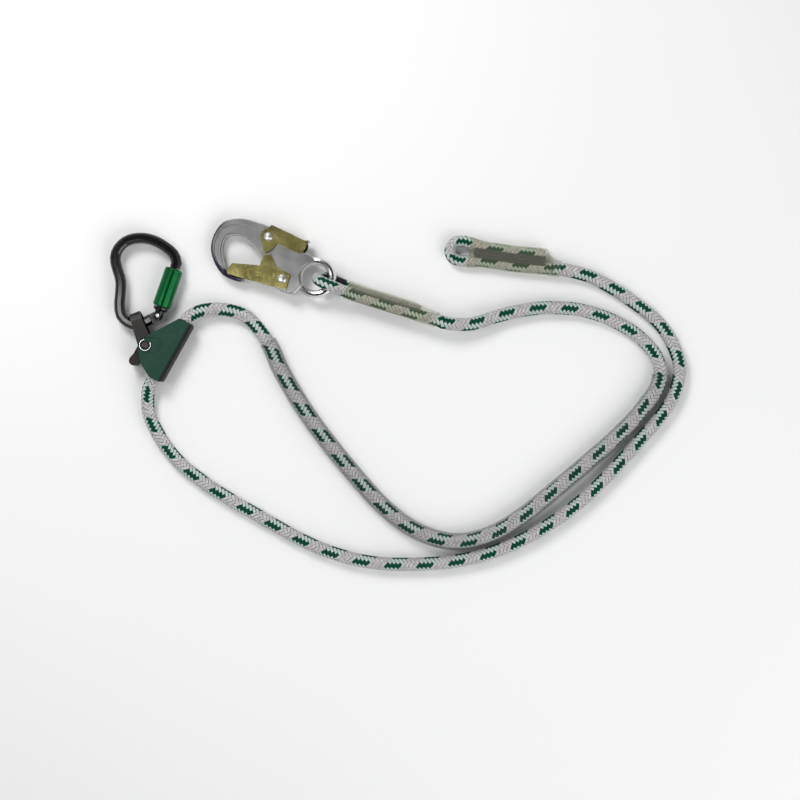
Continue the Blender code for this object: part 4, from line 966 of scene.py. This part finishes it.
# %% Film
HOOK_EYE_COVER = (
    (0.0315, 1.00, 0.0127),
    (0.0370, 1.00, 0.0123),
    (0.0450, 1.00, 0.0120),
    (0.0840, 1.00, 0.0120),
    (0.0940, 1.00, 0.0121),
    (0.1010, 0.70, 0.0126),
    (0.1070, 0.34, 0.0134),
    (0.1120, 0.12, 0.0137),
    (0.1228, 0.04, 0.0137),
)
TAIL_EYE_COVER = (
    (0.0070, 1.00, 0.0122),
    (0.0810, 1.00, 0.0122),
    (0.0850, 0.50, 0.0130),
    (0.0890, 0.18, 0.0136),
    (0.0960, 0.04, 0.0137),
)
COVER_WALL = 0.0005
COVER_GAP = 0.0001
FILM_STEPS = 60
FILM_ARC_STEPS = 12
ROUNDING = 1e-9


def film_section(half, radius):
    """A ring round two legs: half a circle round each, with straight sides between."""
    ring = []
    for centre, start in ((half, -math.pi / 2), (-half, math.pi / 2)):
        for step in range(FILM_ARC_STEPS + 1):
            angle = start + math.pi * step / FILM_ARC_STEPS
            ring.append((centre + radius * math.cos(angle), radius * math.sin(angle)))
    return ring


def add_film(name, standing, folded, table, holder):
    """The shrunk film, as an outer and an inner skin joined at both ends."""
    alongs = [row[0] for row in table]
    spots, faces, count = [], [], 0
    for step in range(FILM_STEPS + 1):
        along = alongs[0] + (alongs[-1] - alongs[0]) * step / FILM_STEPS
        index = max(i for i, value in enumerate(alongs[:-1]) if value <= along + ROUNDING)
        (x0, s0, b0), (x1, s1, b1) = table[index], table[index + 1]
        share = (along - x0) / (x1 - x0)
        spread, bore = s0 + (s1 - s0) * share, b0 + (b1 - b0) * share
        middle, side, rise, half = eye_place(standing, folded, along, spread)
        for radius in (bore / 2 + COVER_WALL, bore / 2 + COVER_GAP):
            ring = film_section(half, radius)
            count = len(ring)
            spots += [holder @ (middle + side * x + rise * y) for x, y in ring]
    row = 2 * count
    for step in range(FILM_STEPS):
        for k in range(count):
            a, b = step * row + k, step * row + (k + 1) % count
            faces.append((a, b, b + row, a + row))
            faces.append((b + count, a + count, a + count + row, b + count + row))
    for base, flip in ((0, True), (FILM_STEPS * row, False)):
        for k in range(count):
            n = (k + 1) % count
            face = (base + k, base + n, base + n + count, base + k + count)
            faces.append(tuple(reversed(face)) if flip else face)
    return add_piece(name, spots, faces, cover_finish, "lanyard")


# %% [markdown]
# ### The seam
#
# The seam is dense zigzag stitching: hundreds of threads laid across both legs, above and below.
# A striped finish would look flat at its edges, so each thread is a thin bar. How far the threads
# reach swells and shrinks along the seam, which gives it a toothed edge, and a little chance keeps
# them from looking machined.

# %% Measures of the seam
SEAM_PITCH = 0.00055
TOOTH_PITCH = 0.0032
SEAM_HALF_WIDTH = 0.0046
SEAM_TOOTH = 0.0007
SEAM_TOP = 0.00565
THREAD_RADIUS = 0.00032
THREAD_CORNERS = (0.0, 60.0, 120.0, 180.0, 270.0)
THREAD_STOPS = (-1.0, -0.9, -0.7, -0.4, 0.0, 0.5, 0.9, 1.0)
THREAD_LEAN = 0.0006
THREAD_SHAKE = 0.0001
THREAD_TUCK = 0.00045
print("a tooth every", round(TOOTH_PITCH / SEAM_PITCH, 1), "threads")

# %% Seam
def thread_height(x, half):
    """How high a thread lies at a distance from the seam's middle: flat, then round a leg."""
    past = abs(x) - half
    return SEAM_TOP if past <= 0.0 else math.sqrt(max(SEAM_TOP**2 - past**2, 0.0))


def add_seam(name, standing, folded, start, end, holder, wide_leg):
    """Threads across the legs, above and below; wide_leg is their reach over the standing leg."""
    spots, faces = [], []
    corners = len(THREAD_CORNERS)

    def bar(path, up):
        """One thread, as a thin bar along a path."""
        first = len(spots)
        for index, point in enumerate(path):
            ahead = (path[min(index + 1, len(path) - 1)] - path[max(index - 1, 0)]).normalized()
            side = ahead.cross(up).normalized()
            for angle in THREAD_CORNERS:
                turn = math.radians(angle)
                spots.append(point + side * (math.cos(turn) * THREAD_RADIUS)
                             + up * (math.sin(turn) * THREAD_RADIUS))
        for ring in range(len(path) - 1):
            for k in range(corners):
                a, b = first + ring * corners + k, first + ring * corners + (k + 1) % corners
                faces.append((a, a + corners, b + corners, b))
        faces.append(tuple(range(first, first + corners)))
        faces.append(tuple(reversed(range(len(spots) - corners, len(spots)))))

    count = round((end - start) / SEAM_PITCH)
    for number in range(count + 1):
        along = start + (end - start) * number / count
        phase = (along / TOOTH_PITCH) % 1.0
        tooth = SEAM_TOOTH * (1.0 - abs(2.0 * phase - 1.0)) * 2.0 - SEAM_TOOTH
        tooth += random.uniform(-THREAD_SHAKE, THREAD_SHAKE)
        lean = THREAD_LEAN if number % 2 else -THREAD_LEAN
        for sign in (1.0, -1.0):
            path = []
            for x in THREAD_STOPS:
                middle, side, rise, half = eye_place(standing, folded, along + lean * x)
                reach = (wide_leg if x < 0.0 else SEAM_HALF_WIDTH) + tooth
                drop = THREAD_TUCK if abs(x) == 1.0 else 0.0
                lift = sign * (thread_height(x * reach, half) - drop)
                path.append(holder @ (middle + side * (x * reach) + rise * lift))
            up = (holder.to_3x3() @ rise).normalized() * sign
            bar(path, up)
    return add_piece(name, spots, faces, thread_finish, "lanyard")


# %% [markdown]
# ### Both eyes
#
# In the hook's eye the standing leg lies over the folded one, and the photograph shows the seam
# reaching further over it. Under the film the rope looks yellower, and its finish is told where
# the film begins.

# %% Eyes
LEG_DIAMETER = 0.0110
LEG_SIDES = 44
LEG_STEP = 0.002
FILM_FADE = 0.0004
HOOK_EYE_SEAM, TAIL_EYE_SEAM = (0.0360, 0.1040), (0.0125, 0.0805)
HOOK_EYE_BRAID, TAIL_EYE_BRAID = (0.35, 0.20), (0.0, 0.02)
HOOK_SEAM_REACH = 0.0096


def add_eye(prefix, route, seam, cover, holder, start, turn, wide_leg):
    """An eye's loop, seam and film. start and turn place its braid along and round the rope."""
    legs = evenly(smooth(route, CURVE_STEPS), LEG_STEP)
    tip = min(range(len(legs)), key=lambda index: legs[index].x)
    standing, folded = legs[:tip + 1], legs[tip:]
    world = [holder @ point for point in evenly(smooth(route, CURVE_STEPS), RING_STEP)]
    near, ahead = holder @ Vector((cover[0][0], 0.0, 0.0)), holder.to_3x3() @ Vector((1.0, 0.0, 0.0))
    under = braid_finish(prefix + "_braid", lambda made: beyond(made, near, ahead, 0.0, FILM_FADE))
    loop = add_tube(prefix + "_rope", world, lambda share: LEG_DIAMETER / 2, LEG_SIDES, under,
                    "lanyard", start, turn)
    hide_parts(prefix + "_loop")
    seam = add_seam(prefix + "_seam", standing, folded, *seam, holder, wide_leg)
    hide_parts(prefix + "_stitching")
    film = add_film(prefix + "_film", standing, folded, cover, holder)
    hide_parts(prefix + "_cover")
    return [loop, seam, film]


hook_pieces = add_eye("hook_eye", HOOK_EYE_ROUTE, HOOK_EYE_SEAM, HOOK_EYE_COVER, hook_eye,
                      *HOOK_EYE_BRAID, HOOK_SEAM_REACH)
tail_pieces = add_eye("tail_eye", TAIL_EYE_ROUTE, TAIL_EYE_SEAM, TAIL_EYE_COVER, tail_eye,
                      *TAIL_EYE_BRAID, SEAM_HALF_WIDTH)
print("eyes", [made.name for made in hook_pieces + tail_pieces])

# %% [markdown]
# ## The guard
#
# A black guard keeps the hook off the rope where the eye bends round its ring. It is a short open
# tube on the part of the eye's route that passes through the ring.

# %% Guard
HOOK_GUARD_FROM, HOOK_GUARD_TO = 0.0070, 0.0288
GUARD_OUTER, GUARD_BORE = 0.0128, 0.0119
GUARD_STEP = 0.0012
GUARD_SIDES = 24

guarded = [hook_eye @ point for point in evenly(smooth(HOOK_EYE_ROUTE, CURVE_STEPS), GUARD_STEP)
           if HOOK_GUARD_FROM < point.x < HOOK_GUARD_TO and point.y > 0.0]
guard = add_shell_tube("hook_eye_guard_black", guarded, GUARD_OUTER, GUARD_BORE, GUARD_SIDES,
                       guard_finish, "lanyard")
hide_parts("hook_eye_guard")
print("guard", len(guarded), "rings")

# %% [markdown]
# ## The cord
#
# It prints the rope's length and thickness.

# %% Cord
CORD_STEP = 0.008

[tuple(point) for point in evenly(curve, CORD_STEP)]
print("cord", round(rope_length, 3), "m long,", 1000 * ROPE_DIAMETER, "mm thick")
